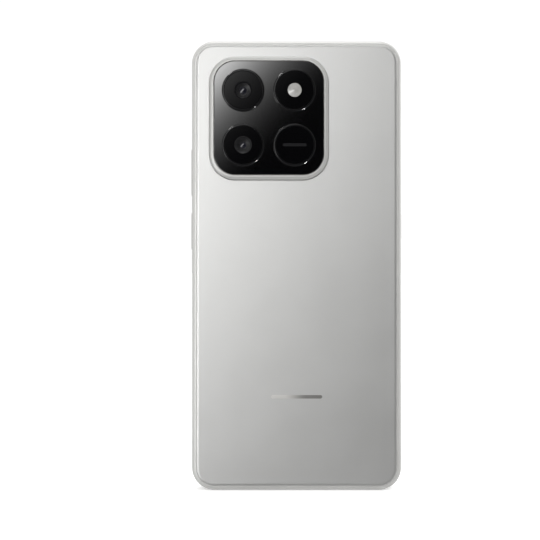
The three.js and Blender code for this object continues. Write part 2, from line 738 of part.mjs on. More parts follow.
piece("main_camera", "chip", cameraModule(MAIN_CAMERA, lensPlaces.main));
piece("second_camera", "chip", cameraModule(SECOND_CAMERA, lensPlaces.second));
piece("flash_board", "chip", flashBoard());
piece("front_camera", "chip", frontCameraModule());
piece("earpiece", "plasticBlack", earpiece());
piece("proximity_sensor", "chip", proximitySensor());

// ---- Main board, its chip and cans, and the cover over them ----

function moduleWindow({ size }, [x, y]) {
  const half = size / 2 + PART_GAP;
  return block([x - half, y - half, -OVERCUT], [x + half, y + half, OVERCUT]);
}

const cameraWindows = [
  moduleWindow(MAIN_CAMERA, lensPlaces.main),
  moduleWindow(SECOND_CAMERA, lensPlaces.second),
];

function mainBoard() {
  const y = (mainBoardTop + mainBoardBottom) / 2;
  const outline = roundedOutline(2 * boardHalf, MAIN_BOARD_HEIGHT, BOARD.radius, 0, y);
  const screws = [...coverScrews, ...boardScrews];
  const holes = screws.map((at) => disc(SCREW.holeRadius, 0, OVERCUT, at, SCREW_SIDES));
  return cut(slab(outline, boardFront, boardRear), [...cameraWindows, ...holes]);
}

function boardCover() {
  const y = (mainBoardTop + boardCoverBottom) / 2;
  const outline = roundedOutline(2 * boardHalf, mainBoardTop - boardCoverBottom, BOARD.radius, 0, y);
  const holes = coverScrews.map((at) => disc(SCREW.holeRadius, 0, OVERCUT, at, SCREW_SIDES));
  return cut(slab(outline, boardCoverFront, boardCoverRear), [...cameraWindows, ...holes]);
}

/** A pressed can between two sides, open towards the board. */
function shield(left, right, low, height) {
  const x = (left + right) / 2;
  const y = low + height / 2;
  const width = right - left;
  const outer = slab(roundedOutline(width, height, SHIELD.radius, x, y), onBoard, shieldRear);
  const inner = roundedOutline(
    width - 2 * SHIELD.wall,
    height - 2 * SHIELD.wall,
    SHIELD.radius - SHIELD.wall,
    x,
    y,
  );
  return cut(outer, [slab(inner, 0, shieldRear - SHIELD.wall)]);
}

const shieldRow = boardCoverBottom + SHIELD_GAP;
const radioRow = shieldRow + PROCESSOR_SHIELD_HEIGHT + RADIO_GAP;

function chipSquare(size, low, high) {
  const half = size / 2;
  const y = shieldRow + PROCESSOR_SHIELD_HEIGHT / 2;
  return block([chipColumn - half, y - half, low], [chipColumn + half, y + half, high]);
}

function processor() {
  return chipSquare(PROCESSOR.size, onBoard, onBoard + PROCESSOR.thickness);
}

function thermalPad() {
  const low = onBoard + PROCESSOR.thickness + LAYER_GAP;
  return chipSquare(PROCESSOR.size - 2 * PROCESSOR.padMargin, low, shieldRear - SHIELD.wall - LAYER_GAP);
}

piece("main_board", "boardGreen", mainBoard());
piece("processor", "chip", processor());
piece("thermal_pad", "thermalGrey", thermalPad());
piece(
  "processor_shield",
  "canSteel",
  shield(chipColumnLeft, chipColumnRight, shieldRow, PROCESSOR_SHIELD_HEIGHT),
);
piece("radio_shield", "canSteel", shield(chipColumnLeft, chipColumnRight, radioRow, RADIO_SHIELD_HEIGHT));
piece(
  "power_shield",
  "canSteel",
  shield(powerColumnLeft, powerColumnRight, shieldRow, POWER_SHIELD_HEIGHT),
);
piece("board_cover", "plasticBlack", boardCover());

// ---- Battery and the flexible circuits round it ----

function battery() {
  const width = 2 * (cavityHalf - BATTERY.sideRoom);
  const y = (batteryTop + batteryBottom) / 2;
  const outline = roundedOutline(width, batteryTop - batteryBottom, BATTERY.radius, 0, y);
  return softSlab(outline, floor, batteryRear, BATTERY.edge, BATTERY.edge, 3);
}

// The coil and the graphite sheet share the layer over the battery, the coil above and the sheet below it
const sheetWidth = 2 * (cavityHalf - BATTERY.sideRoom - GRAPHITE.margin);
const coilTop = batteryTop - GRAPHITE.margin;
const coilBottom = coilTop - NFC_COIL.height;

function graphiteSheet() {
  const top = coilBottom - PART_GAP;
  const bottom = batteryBottom + GRAPHITE.margin;
  const outline = roundedOutline(sheetWidth, top - bottom, BATTERY.radius, 0, (top + bottom) / 2);
  return slab(outline, graphiteFront, graphiteFront + GRAPHITE.thickness);
}

function nfcCoil() {
  const y = (coilTop + coilBottom) / 2;
  const outer = roundedOutline(sheetWidth, NFC_COIL.height, NFC_COIL.radius, 0, y);
  const inner = roundedOutline(
    sheetWidth - 2 * NFC_COIL.strip,
    NFC_COIL.height - 2 * NFC_COIL.strip,
    NFC_COIL.radius / 2,
    0,
    y,
  );
  return cut(slab(outer, graphiteFront, graphiteFront + GRAPHITE.thickness), [slab(inner, 0, OVERCUT)]);
}

function mainFlex() {
  const high = flexFront + FLEX_THICKNESS / 2;
  const low = onBoard + FLEX_THICKNESS / 2;
  const route = [
    [mainBoardBottom + MAIN_FLEX.tail, low],
    [mainBoardBottom, low],
    [batteryTop, high],
    [batteryBottom, high],
    [subBoardTop, low],
    [subBoardTop - MAIN_FLEX.tail, low],
  ];
  return strip(route, FLEX_THICKNESS, MAIN_FLEX.x, MAIN_FLEX.width);
}

function batteryFlex() {
  const x = cavityHalf - BATTERY_FLEX.fromSide;
  const half = BATTERY_FLEX.width / 2;
  const low = [x - half, batteryTop + PART_GAP, onBoard];
  const top = mainBoardBottom + BATTERY_FLEX.tail;
  return block(low, [x + half, top, onBoard + BATTERY_FLEX.thickness]);
}

function antennaCable() {
  const radius = ANTENNA_CABLE.radius;
  const side = cavityHalf - BATTERY.sideRoom + radius + ANTENNA_CABLE.fromBattery;
  const onTop = onBoard + radius + ANTENNA_CABLE.aboveBoard;
  const level = floor + ANTENNA_CABLE.aboveFloor;
  const between = (subBoardTop + batteryBottom) / 2;
  const path = new THREE.CatmullRomCurve3(
    [
      // from its plug on the main board, down beside the battery
      [side - 5.0, mainBoardBottom + 2.0, onTop],
      [side - 2.6, mainBoardBottom + 0.4, onTop + 0.15],
      [side - 0.6, mainBoardBottom - 1.1, onTop - 0.3],
      [side, mainBoardBottom - 1.6, floor + 2.5],
      [side, mainBoardBottom - 5.0, level + 0.2],
      [side, mainBoardBottom - 9.0, level],
      [side, (batteryTop + batteryBottom) / 2, level],
      [side, batteryBottom + 1.0, level],
      // between the battery and the loudspeaker, and up to its plug on the sub board
      [side - 0.7, between + 0.4, level],
      [side - 2.3, between, level + 0.1],
      [speakerX, between, level + 0.6],
      [SUB_BOARD.right + 3.0, between, floor + 2.6],
      [SUB_BOARD.right - 2.2, between - 0.2, onTop],
      [SUB_BOARD.right - 7.0, subBoardTop - 1.6, onTop],
    ].map(([x, y, z]) => new THREE.Vector3(x, y, z)),
    false,
    "centripetal",
  );
  return new THREE.ExtrudeGeometry(circle(radius), { extrudePath: path, steps: 36, curveSegments: 4 });
}

piece("battery", "batteryFoil", battery());
piece("graphite_sheet", "graphite", graphiteSheet());
piece("nfc_coil", "copper", nfcCoil());
piece("main_flex", "flexAmber", mainFlex());
piece("battery_flex", "flexAmber", batteryFlex());
piece("antenna_cable", "cableBlack", antennaCable());

// ---- Lower end: sub board, socket, loudspeaker, microphone and vibration motor ----

function subBoard() {
  const left = -boardHalf;
  const width = SUB_BOARD.right - left;
  const x = (SUB_BOARD.right + left) / 2;
  const y = (subBoardTop + subBoardBottom) / 2;
  const outline = roundedOutline(width, SUB_BOARD.height, BOARD.radius, x, y);
  const half = USB.width / 2 + PART_GAP;
  const usbWindow = block([-half, 0, 0], [half, USB.setBack + USB.depth + PART_GAP, OVERCUT]);
  const holes = subBoardScrews.map((at) => disc(SCREW.holeRadius, 0, OVERCUT, at, SCREW_SIDES));
  return cut(slab(outline, boardFront, boardRear), [usbWindow, ...holes]);
}

/** The charging socket: a shell with a closed back and a tongue, drawn looking out of the lower edge. */
function usbSocket() {
  const hollow = pill(USB.width - 2 * USB.wall, USB.height - 2 * USB.wall);
  const inside = slab(hollow, USB.back - USB.depth, OVERLAP);
  const shell = cut(slab(pill(USB.width, USB.height), -USB.depth, 0), [inside]);
  const tongue = slab(
    roundedOutline(USB_TONGUE.width, USB_TONGUE.thickness, USB_TONGUE.radius),
    USB.back - USB.depth - OVERLAP,
    -USB_TONGUE.setBack,
  );
  return facing(join([shell, tongue]), "down", 0, USB.setBack, SIDE_LEVEL);
}

function loudspeaker() {
  const y = subBoardBottom + SPEAKER.height / 2;
  const width = speakerRight - speakerLeft;
  const outline = roundedOutline(width, SPEAKER.height, SPEAKER.radius, speakerX, y);
  return softSlab(outline, floor, floor + SPEAKER.thickness, SPEAKER.edge, SPEAKER.edge, 2);
}

function microphone() {
  const half = MICROPHONE.width / 2;
  const top = boardFront - LAYER_GAP;
  const low = [MICROPHONE.x - half, subBoardBottom, top - MICROPHONE.thickness];
  return block(low, [MICROPHONE.x + half, subBoardBottom + MICROPHONE.height, top]);
}

function vibrationMotor() {
  const y = (subBoardTop + subBoardBottom) / 2;
  return disc(MOTOR.radius, floor, floor + MOTOR.thickness, [MOTOR.fromSide - cavityHalf, y]);
}

piece("sub_board", "boardGreen", subBoard());
piece("usb_socket", "canSteel", usbSocket());
piece("loudspeaker", "plasticBlack", loudspeaker());
piece("microphone", "canSteel", microphone());
piece("vibration_motor", "canSteel", vibrationMotor());

// ---- Keys and their switches ----

/** A key: a cap with round ends through the wall, and a lip inside that keeps it in. */
function key({ side, x, fromTop, length, lipGap }) {
  const lipFace = -FRAME_WALL - lipGap;
  const inner = lipFace - KEY_LIP.thickness;
  const cap = softSlab(pill(length, KEY.height), inner, KEY.protrusion, KEY.edge, KEY.edge, 3);
  const lipOutline = roundedOutline(length + 2 * KEY_LIP.extra, KEY_LIP.height, KEY_LIP.radius);
  const lip = slab(lipOutline, inner, lipFace);
  return facing(join([cap, lip]), side, x, PHONE_HEIGHT - fromTop, SIDE_LEVEL);
}

/** A switch strip: a stiffened circuit with a dome under each end of the key, or under its middle. */
function keySwitch({ side, x, fromTop, length, lipGap }, domes) {
  const face = -FRAME_WALL - lipGap - KEY_LIP.thickness - KEY.travel - EDGE_GAP - SWITCH.domeRise;
  const base = slab(roundedOutline(length, SWITCH.height, SWITCH.radius), face - SWITCH.thickness, face);
  const rise = domes.map((along) => {
    const height = SWITCH.domeRise + OVERLAP;
    const dome = new THREE.CylinderGeometry(SWITCH.domeRadius / 2, SWITCH.domeRadius, height, SCREW_SIDES);
    return dome.rotateX(Math.PI / 2).translate(along, 0, face + SWITCH.domeRise - height / 2);
  });
  return facing(join([base, ...rise]), side, x, PHONE_HEIGHT - fromTop, SIDE_LEVEL);
}

const rockerReach = VOLUME_KEY.length * SWITCH.reach;
const switchDomes = { volume_key: [-rockerReach, rockerReach], power_key: [0], side_key: [0] };
for (const place of keyPlaces) {
  piece(place.name, "frameSilver", key(place));
  piece(place.name.replace("key", "switch"), "flexAmber", keySwitch(place, switchDomes[place.name]));
}

// ---- Card tray and its reader ----

function cardTray() {
  const door = slab(pill(TRAY_DOOR.length, TRAY_DOOR.height), -TRAY_DOOR.depth, 0);
  const blade = slab(
    roundedOutline(TRAY_BLADE.width, TRAY_BLADE.thickness, TRAY_BLADE.radius),
    -TRAY_REACH,
    OVERLAP - TRAY_DOOR.depth,
  );
  const first = -FRAME_WALL - CARD.gap;
  const pockets = [0, 1].map((i) => {
    const outer = first - i * (CARD.length + CARD.gap);
    const half = CARD.width / 2;
    return block([-half, -TRAY_BLADE.thickness, outer - CARD.length], [half, TRAY_BLADE.thickness, outer]);
  });
  return facing(cut(join([door, blade]), pockets), "right", halfWidth, trayCentre, trayLevel);
}

function cardReader() {
  const half = TRAY_BLADE.width / 2 + SLIDE_GAP;
  const inner = -TRAY_REACH - SLIDE_GAP;
  const outer = -FRAME_WALL - PART_GAP;
  const halfHeight = READER.thickness / 2;
  const channel = TRAY_BLADE.thickness / 2 + SLIDE_GAP;
  const shell = block(
    [-half - READER.wall, -halfHeight, inner - READER.wall],
    [half + READER.wall, halfHeight, outer],
  );
  const hollow = block([-half, -channel, inner], [half, channel, outer + OVERLAP]);
  return facing(cut(shell, [hollow]), "right", halfWidth, trayCentre, trayLevel);
}

piece("sim_tray", "frameSilver", cardTray());
piece("sim_reader", "canSteel", cardReader());

// ---- Screws ----

/** A screw whose head lies on a layer, with its shank reaching into the mid plate. */
function screw([x, y], seat) {
  const head = seat + LAYER_GAP;
  return turned(
    [
      [0, midPlateFront + LAYER_GAP],
      [SCREW.shankRadius, midPlateFront + LAYER_GAP],
      [SCREW.shankRadius, head],
      [SCREW_HEAD.radius, head],
      [SCREW_HEAD.radius, head + SCREW_HEAD.band],
      [SCREW_HEAD.topRadius, head + SCREW_HEAD.height],
      [0, head + SCREW_HEAD.height],
    ],
    [x, y],
    SCREW_SIDES,
  );
}

coverScrews.forEach((at, i) => piece(`cover_screw_${i + 1}`, "screwSteel", screw(at, boardCoverRear)));
boardScrews.forEach((at, i) => piece(`board_screw_${i + 1}`, "screwSteel", screw(at, boardRear)));
subBoardScrews.forEach((at, i) => piece(`lower_screw_${i + 1}`, "screwSteel", screw(at, boardRear)));

// ---------------------------------------------------------------------------------------------------
// Standing the phone up: the rear faces -Y, and the depth from screen to lens discs is centred on Y
// ---------------------------------------------------------------------------------------------------

phone.rotation.x = Math.PI / 2;
phone.position.y = ringTop / 2;

const group = new THREE.Group();
group.add(phone);

export default group;
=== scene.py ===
"""Looks of a smartphone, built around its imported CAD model.

The outer pieces are fine meshes made here, in the phone's own layout: millimetres, x to the right
and y up as seen from the rear, z from the screen's outer face towards the rear. The inner pieces are
the CAD nodes with finished materials.
"""

import math
from collections import namedtuple

import bmesh
import bpy
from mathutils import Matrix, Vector


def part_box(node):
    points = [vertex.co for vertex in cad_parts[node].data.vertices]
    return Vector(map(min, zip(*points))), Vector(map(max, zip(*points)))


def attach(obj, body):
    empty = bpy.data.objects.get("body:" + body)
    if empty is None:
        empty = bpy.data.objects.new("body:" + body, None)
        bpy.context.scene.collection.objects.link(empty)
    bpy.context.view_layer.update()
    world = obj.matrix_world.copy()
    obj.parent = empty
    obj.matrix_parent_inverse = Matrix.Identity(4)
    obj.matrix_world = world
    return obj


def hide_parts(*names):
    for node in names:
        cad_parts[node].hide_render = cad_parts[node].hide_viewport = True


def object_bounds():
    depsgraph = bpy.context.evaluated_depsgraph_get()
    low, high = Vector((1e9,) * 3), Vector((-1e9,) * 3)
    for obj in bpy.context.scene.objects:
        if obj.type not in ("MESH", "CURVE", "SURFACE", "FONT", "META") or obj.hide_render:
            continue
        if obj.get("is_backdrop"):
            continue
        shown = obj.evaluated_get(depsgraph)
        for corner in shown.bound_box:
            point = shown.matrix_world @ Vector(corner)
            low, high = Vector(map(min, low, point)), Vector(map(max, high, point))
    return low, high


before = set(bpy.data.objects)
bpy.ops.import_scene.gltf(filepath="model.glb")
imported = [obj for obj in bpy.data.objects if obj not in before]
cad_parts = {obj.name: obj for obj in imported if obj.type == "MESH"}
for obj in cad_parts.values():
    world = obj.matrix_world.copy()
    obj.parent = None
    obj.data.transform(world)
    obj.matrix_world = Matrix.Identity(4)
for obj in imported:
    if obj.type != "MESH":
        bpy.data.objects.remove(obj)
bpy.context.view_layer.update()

MM = 0.001
BODY = "phone_body"
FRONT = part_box("front_glass")[1].y

# ---------------------------------------------------------------------------------------------------
# Sizes, in millimetres. What a CAD node's box gives is read from that box.
# ---------------------------------------------------------------------------------------------------

# How finely curves are drawn, and the angle above which an edge is shown sharp
CORNER_STEPS = 24
SHOULDER_STEPS = 10
TURNED_SIDES = 96
SHARP_ANGLE = math.radians(32)

# How wide the worn band along an edge is
WEAR_WIDTH = 0.12

# Gaps and small edges
EDGE_GAP = 0.08
COVER_GAP = 0.025  # narrower than in the CAD, where it would show as a dark line
SLIDE_GAP = 0.15
SOFT_EDGE = 0.06

# Side frame. A shoulder or rounded edge is (inset, rise).
CORNER_RADIUS = 8.1
FRAME_WALL = 3.0
FRAME_LEDGES = (7.1, 1.0)  # z of the ledges under the cover and the screen
REAR_SHOULDER = (1.6, 1.65)
FRONT_SHOULDER = (0.75, 1.55)
COVER_INSET = 1.9
GLASS_INSET = 1.2
BAND_FROM_END = 15.5
BAND_FROM_SIDE = 13.0
BAND_HALF = 0.45
BAND_DEPTH = 3.2

# Cover and screen
COVER_EDGE = (0.85, 0.2)
COVER_BAR = (18.5, 1.3, 0.02)  # length, height, how far it stands proud
COVER_BAR_Y = 34.0
GLASS_EDGE = (0.5, 0.35)
BEZEL = 1.35
FRONT_EYE = 2.0
EAR_SLIT = (11.0, 0.5)
GLASS_CUT = (-1.0, 2.0)  # from in front of the glass to behind it

# Camera island
ISLAND_RADIUS = 9.4
FLANGE = (0.9, 0.3)
TRIM_EDGE = (1.3, 1.0)
TRIM_BORDER = 1.85
TRIM_CHAMFER = 0.16
TRIM_FLOOR = 9.1
TRIM_WINDOW = 5.0
PLATE_EDGE = 0.15
RING_SPIGOT = 0.65
RING_WALL = 0.75
RING_SEAT = 1.5
RING_BEVEL = 0.4
RING_BEVEL_STEPS = 8
RING_CLEARANCE = 0.05
RING_FOOT_EDGE = 0.04
RING_LIP = 0.05
LENS_WINDOW = 3.1
MASK_EDGE = 0.12
MASK_BACK = 0.3
SENSOR_BAR = (8.6, 1.1, 0.01)
PIERCE_TO = 12.0  # beyond the island's top

# Lens barrel, at the main camera's size: the radius of its mouth, the outer radii at its foot and
# top, and each step's size, sloping face and floor as (inwards, down)
BARREL_MOUTH = 2.72
BARREL_OUTSIDE = (2.78, 2.82)
BARREL_STEPS = 4
BARREL_STEP = (0.34, 0.18)
BARREL_FACE = (0.06, 0.14)
BARREL_FLOOR = (0.3, 0.16)
BARREL_BASE = 0.12
LENS_DOME = 0.34
SECOND_LENS_SCALE = 0.88

# Flash diffuser: count of ribs, plain border, and the depths of valleys and ridges
RIB_COUNT = 7
RIB_BORDER = 0.2
RIB_VALLEY = 0.09
RIB_RIDGE = 0.03

# Keys, tray and lower edge
KEY_EDGE = 0.25
KEY_LIP = (1.2, 0.5, 3.0, 0.6)  # extra length at each end, thickness, height, corner radius
KEY_HEIGHT = 2.3
TRAY_DOOR = (15.6, 2.0, 1.6)  # length, height, depth
TRAY_BLADE = (13.4, 0.8)
TRAY_BLADE_END = 0.08
BLADE_CUT = (-2.0, 2.0)  # from under the blade to above it
CARD_POCKET = (8.9, 11.4, 0.6)  # along the slide, across it, corner radius
CARD_COUNT = 2
CARD_GAP = 1.0
EJECT_HOLE = (0.45, 1.6)  # radius, distance from the door
SPEAKER_HOLES = (5, 0.75, 3.0)  # count, radius, pitch
MIC_HOLE = 0.5
SOCKET_WALL = 0.3
SOCKET_FLOOR = 0.8
TONGUE = (6.7, 0.7, 0.2)  # width, height, corner radius
CONTACT_COUNT = 12
CONTACT_PITCH = 0.5
CONTACT_HALF = (0.14, 0.03)
CONTACT_ENDS = (-5.6, -1.3)

# ---------------------------------------------------------------------------------------------------
# Places
# ---------------------------------------------------------------------------------------------------

Span = namedtuple("Span", "x0 y0 z0 x1 y1 z1")


def place(x, y, z):
    """A point of the phone's layout, as a point of the scene."""
    return Vector((x * MM, FRONT - z * MM, y * MM))


def span(node):
    """A CAD node's box in the phone's layout."""
    low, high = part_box(node)
    z0, z1 = (FRONT - high.y) / MM, (FRONT - low.y) / MM
    return Span(low.x / MM, low.z / MM, z0, high.x / MM, high.z / MM, z1)


def middle(node):
    s = span(node)
    return (s.x0 + s.x1) / 2, (s.y0 + s.y1) / 2, (s.z0 + s.z1) / 2


body = span("side_frame")
half_width = body.x1


def out_of(side, x, y, z):
    """Turns (along, across, outwards) on one of the phone's sides into a point of the scene."""
    if side == "right":
        return lambda u, v, w: place(half_width + w, y + u, z + v)
    if side == "left":
        return lambda u, v, w: place(-half_width - w, y + u, z + v)
    return lambda u, v, w: place(x + u, y - w, z + v)


# ---------------------------------------------------------------------------------------------------
# Meshes
# ---------------------------------------------------------------------------------------------------


def rounded(x0, y0, x1, y1, radius, inset=0.0, steps=CORNER_STEPS):
    """Points round a rectangle with round corners, brought in by inset."""
    x0, y0, x1, y1 = x0 + inset, y0 + inset, x1 - inset, y1 - inset
    r = max(radius - inset, 0.01)
    corners = [(x1 - r, y1 - r), (x0 + r, y1 - r), (x0 + r, y0 + r), (x1 - r, y0 + r)]
    points = []
    for i, (cx, cy) in enumerate(corners):
        for k in range(steps + 1):
            a = math.pi / 2 * (i + k / steps)
            points.append((cx + r * math.cos(a), cy + r * math.sin(a)))
    return points


def pill(length, height, inset=0.0, steps=12):
    return rounded(-length / 2, -height / 2, length / 2, height / 2, height / 2 - 1e-4, inset, steps)


def circle(radius, cx=0.0, cy=0.0, sides=TURNED_SIDES):
    turns = [2 * math.pi * i / sides for i in range(sides)]
    return [(cx + radius * math.cos(t), cy + radius * math.sin(t)) for t in turns]


def shoulder(inset, rise, steps=SHOULDER_STEPS):
    """(inset, height) points up a quarter ellipse, from an upright wall to a level top."""
    turns = [math.pi / 2 * k / steps for k in range(steps + 1)]
    return [(inset * (1 - math.cos(t)), rise * math.sin(t)) for t in turns]


def loft(rings, closed=False, finishes=None):
    """A mesh through rings of scene points. A closed one joins its last ring to its first, and any
    other is capped. finishes gives material indexes for the bands between rings by number, and for
    the caps under "first" and "last"."""
    finishes = finishes or {}
    mesh = bmesh.new()
    rows = [[mesh.verts.new(p) for p in ring] for ring in rings]
    bands = list(zip(rows, rows[1:]))
    if closed:
        bands.append((rows[-1], rows[0]))
    for number, (low, high) in enumerate(bands):
        for i in range(len(low)):
            j = (i + 1) % len(low)
            face = mesh.faces.new((low[i], low[j], high[j], high[i]))
            face.material_index = finishes.get(number, 0)
    if not closed:
        mesh.faces.new(rows[0][::-1]).material_index = finishes.get("first", 0)
        mesh.faces.new(rows[-1]).material_index = finishes.get("last", 0)
    bmesh.ops.remove_doubles(mesh, verts=mesh.verts, dist=1e-8)
    bmesh.ops.recalc_face_normals(mesh, faces=mesh.faces)
    return mesh


def layered(outlines):
    """Rings from (outline, z) pairs drawn across the phone."""
    return [[place(x, y, z) for x, y in outline] for outline, z in outlines]


def sideways(outlines, to_scene):
    """Rings from (outline, w) pairs drawn on one of the phone's sides."""
    return [[to_scene(u, v, w) for u, v in outline] for outline, w in outlines]


def turned(profile, centre, closed=False, sides=TURNED_SIDES, finishes=None):
    """A mesh turned about an axis out of the rear face. The profile is a list of (radius, z)."""
    cx, cy = centre
    rings = [[place(x, y, z) for x, y in circle(max(r, 1e-6), cx, cy, sides)] for r, z in profile]
    return loft(rings, closed, finishes)


def temporary(mesh, materials=()):
    data = bpy.data.meshes.new("working")
    mesh.to_mesh(data)
    mesh.free()
    for material in materials:
        data.materials.append(material)
    thing = bpy.data.objects.new("working", data)
    bpy.context.scene.collection.objects.link(thing)
    return thing


def cut(mesh, cutters, materials):
    """The mesh with the cutters taken out of it."""
    target = temporary(mesh, materials)
    tools = []
    for cutter in cutters:
        tool = temporary(cutter, materials[:1])
        tools.append(tool)
        modifier = target.modifiers.new("cut", "BOOLEAN")
        modifier.operation = "DIFFERENCE"
        modifier.solver = "EXACT"
        modifier.object = tool
    depsgraph = bpy.context.evaluated_depsgraph_get()
    depsgraph.update()
    finished = bmesh.new()
    finished.from_mesh(target.evaluated_get(depsgraph).to_mesh())
    for thing in [target] + tools:
        data = thing.data
        bpy.data.objects.remove(thing)
        bpy.data.meshes.remove(data)
    return finished


def build(name, mesh, materials, nodes, rides=BODY, sharp=SHARP_ANGLE):
    """Makes a finished piece that stands for one or more CAD nodes."""
    data = bpy.data.meshes.new(name)
    for face in mesh.faces:
        face.smooth = True
    mesh.to_mesh(data)
    mesh.free()
    data.set_sharp_from_angle(angle=sharp)
    for material in materials:
        data.materials.append(material)
    thing = bpy.data.objects.new(name, data)
    bpy.context.scene.collection.objects.link(thing)
    weighted = thing.modifiers.new("weighted", "WEIGHTED_NORMAL")
    weighted.keep_sharp = True
    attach(thing, rides)
    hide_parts(*nodes)
    return thing


# ---------------------------------------------------------------------------------------------------
# Materials
# ---------------------------------------------------------------------------------------------------


class Graph:
    """Short calls for making shader nodes."""

    def __init__(self, tree):
        self.tree = tree
        tree.nodes.clear()

    def node(self, kind, **settings):
        made = self.tree.nodes.new(kind)
        for key, value in settings.items():
            setattr(made, key, value)
        return made

    def link(self, source, target):
        self.tree.links.new(source, target)

    def feed(self, target, value):
        if isinstance(value, bpy.types.NodeSocket):
            self.link(value, target)
        else:
            target.default_value = value

    def math(self, operation, *values, clamp=False):
        made = self.node("ShaderNodeMath", operation=operation, use_clamp=clamp)
        for socket, value in zip(made.inputs, values):
            self.feed(socket, value)
        return made.outputs[0]

    def dot(self, vector, axis):
        made = self.node("ShaderNodeVectorMath", operation="DOT_PRODUCT")
        self.link(vector, made.inputs[0])
        made.inputs[1].default_value = axis
        return made.outputs["Value"]

    def ramp(self, value, low, high, to_low=0.0, to_high=1.0, smooth=True):
        kind = "SMOOTHSTEP" if smooth else "LINEAR"
        made = self.node("ShaderNodeMapRange", interpolation_type=kind)
        self.feed(made.inputs["Value"], value)
        made.inputs["From Min"].default_value = low
        made.inputs["From Max"].default_value = high
        made.inputs["To Min"].default_value = to_low
        made.inputs["To Max"].default_value = to_high
        return made.outputs[0]

    def noise(self, vector, scale, detail=2.0, roughness=0.5):
        made = self.node("ShaderNodeTexNoise")
        self.link(vector, made.inputs["Vector"])
        made.inputs["Scale"].default_value = scale
        made.inputs["Detail"].default_value = detail
        made.inputs["Roughness"].default_value = roughness
        return made.outputs[0]

    def mix(self, factor, first, second):
        made = self.node("ShaderNodeMix", data_type="RGBA")
        self.feed(made.inputs[0], factor)
        self.feed(made.inputs[6], first)
        self.feed(made.inputs[7], second)
        return made.outputs[2]

    def edges(self):
        """1 along the edges of the mesh and 0 on its faces, with a narrow fade between them."""
        rounded_off = self.node("ShaderNodeBevel", samples=4)
        rounded_off.inputs["Radius"].default_value = WEAR_WIDTH * MM
        facing = self.node("ShaderNodeVectorMath", operation="DOT_PRODUCT")
        self.link(rounded_off.outputs[0], facing.inputs[0])
        self.link(self.node("ShaderNodeNewGeometry").outputs["Normal"], facing.inputs[1])
        return self.ramp(facing.outputs["Value"], *EDGE_FACING, 1.0, 0.0)

    def stretched(self, vector, scale):
        made = self.node("ShaderNodeMapping")
        self.link(vector, made.inputs["Vector"])
        made.inputs["Scale"].default_value = scale
        return made.outputs[0]


NOISE_RANGE = (0.3, 0.7)  # where most of a noise's values lie
EDGE_FACING = (0.9, 0.99)  # the rounded normal against the flat one, from worn to clean
FINE_SHARE, BROAD_SHARE = 0.6, 0.4
WORN_GAIN, WORN_LIFT = 1.25, 0.04
BUMP_HEIGHT = 0.02
COAT_ROUGHNESS = 0.05
BAND_COLOR = (140, 140, 138)
HOLE_COLOR = (6, 6, 6)
TRACK_COLOR = (70, 120, 84)
CREASE_COLOR = (70, 71, 74)
# Painted reflection on the cover's bar: its light left and dark right colours, and the x span in mm
# over which it fades
INLAY_REFLECTION_ENDS = ((214, 213, 210), (148, 147, 145))
INLAY_REFLECTION_FADE = (-5.0, 4.0)


def shade(rgb):
    """A display colour, 0 to 255, as a linear colour."""
    linear = [c / 255 / 12.92 if c <= 10 else ((c / 255 + 0.055) / 1.055) ** 2.4 for c in rgb]
    return (*linear, 1.0)


def surface(
    name,
    color,
    *,
    metallic=0.0,
    roughness=0.5,
    spread=0.06,
    grain=3000.0,
    bump=0.02,
    blotch=120.0,
    tint=0.04,
    wear=0.15,
    ior=1.5,
    coat=0.0,
    stretch=None,
    emission=0.0,
    pattern=None,
):
    """A procedural finish: fine grain in bump and roughness, a broad drift of tone, and edges worn
    lighter. A pattern changes the tone before the wear."""
    material = bpy.data.materials.new(name)
    material.use_nodes = True
    g = Graph(material.node_tree)
    output = g.node("ShaderNodeOutputMaterial")
    shader = g.node("ShaderNodeBsdfPrincipled")
    g.link(shader.outputs[0], output.inputs[0])
    where = g.node("ShaderNodeTexCoord").outputs["Object"]
    fine_where = g.stretched(where, stretch) if stretch else where
    fine = g.noise(fine_where, grain, 3.0)
    broad = g.noise(where, blotch, 2.0)
    base = shade(color)
    dark = tuple(c * (1 - tint) for c in base[:3]) + (1.0,)
    light = tuple(min(1.0, c * (1 + tint)) for c in base[:3]) + (1.0,)
    tone = g.mix(g.ramp(broad, *NOISE_RANGE), dark, light)
    if pattern:
        tone = pattern(g, where, tone)
    if wear:
        worn = tuple(min(1.0, c * WORN_GAIN + WORN_LIFT) for c in base[:3]) + (1.0,)
        tone = g.mix(g.math("MULTIPLY", g.edges(), wear), tone, worn)
    g.link(tone, shader.inputs["Base Color"])
    fine_part = g.math("MULTIPLY", fine, FINE_SHARE)
    broad_part = g.math("MULTIPLY", broad, BROAD_SHARE)
    mixed = g.math("ADD", fine_part, broad_part)
    low, high = max(0.0, roughness - spread), min(1.0, roughness + spread)
    g.link(g.ramp(mixed, *NOISE_RANGE, low, high), shader.inputs["Roughness"])
    shader.inputs["Metallic"].default_value = metallic
    shader.inputs["IOR"].default_value = ior
    shader.inputs["Coat Weight"].default_value = coat
    shader.inputs["Coat Roughness"].default_value = COAT_ROUGHNESS
    if emission:
        shader.inputs["Emission Color"].default_value = base
        shader.inputs["Emission Strength"].default_value = emission
    raised = g.node("ShaderNodeBump")
    raised.inputs["Strength"].default_value = bump
    raised.inputs["Distance"].default_value = BUMP_HEIGHT * MM
    g.link(fine, raised.inputs["Height"])
    g.link(raised.outputs[0], shader.inputs["Normal"])
    return material


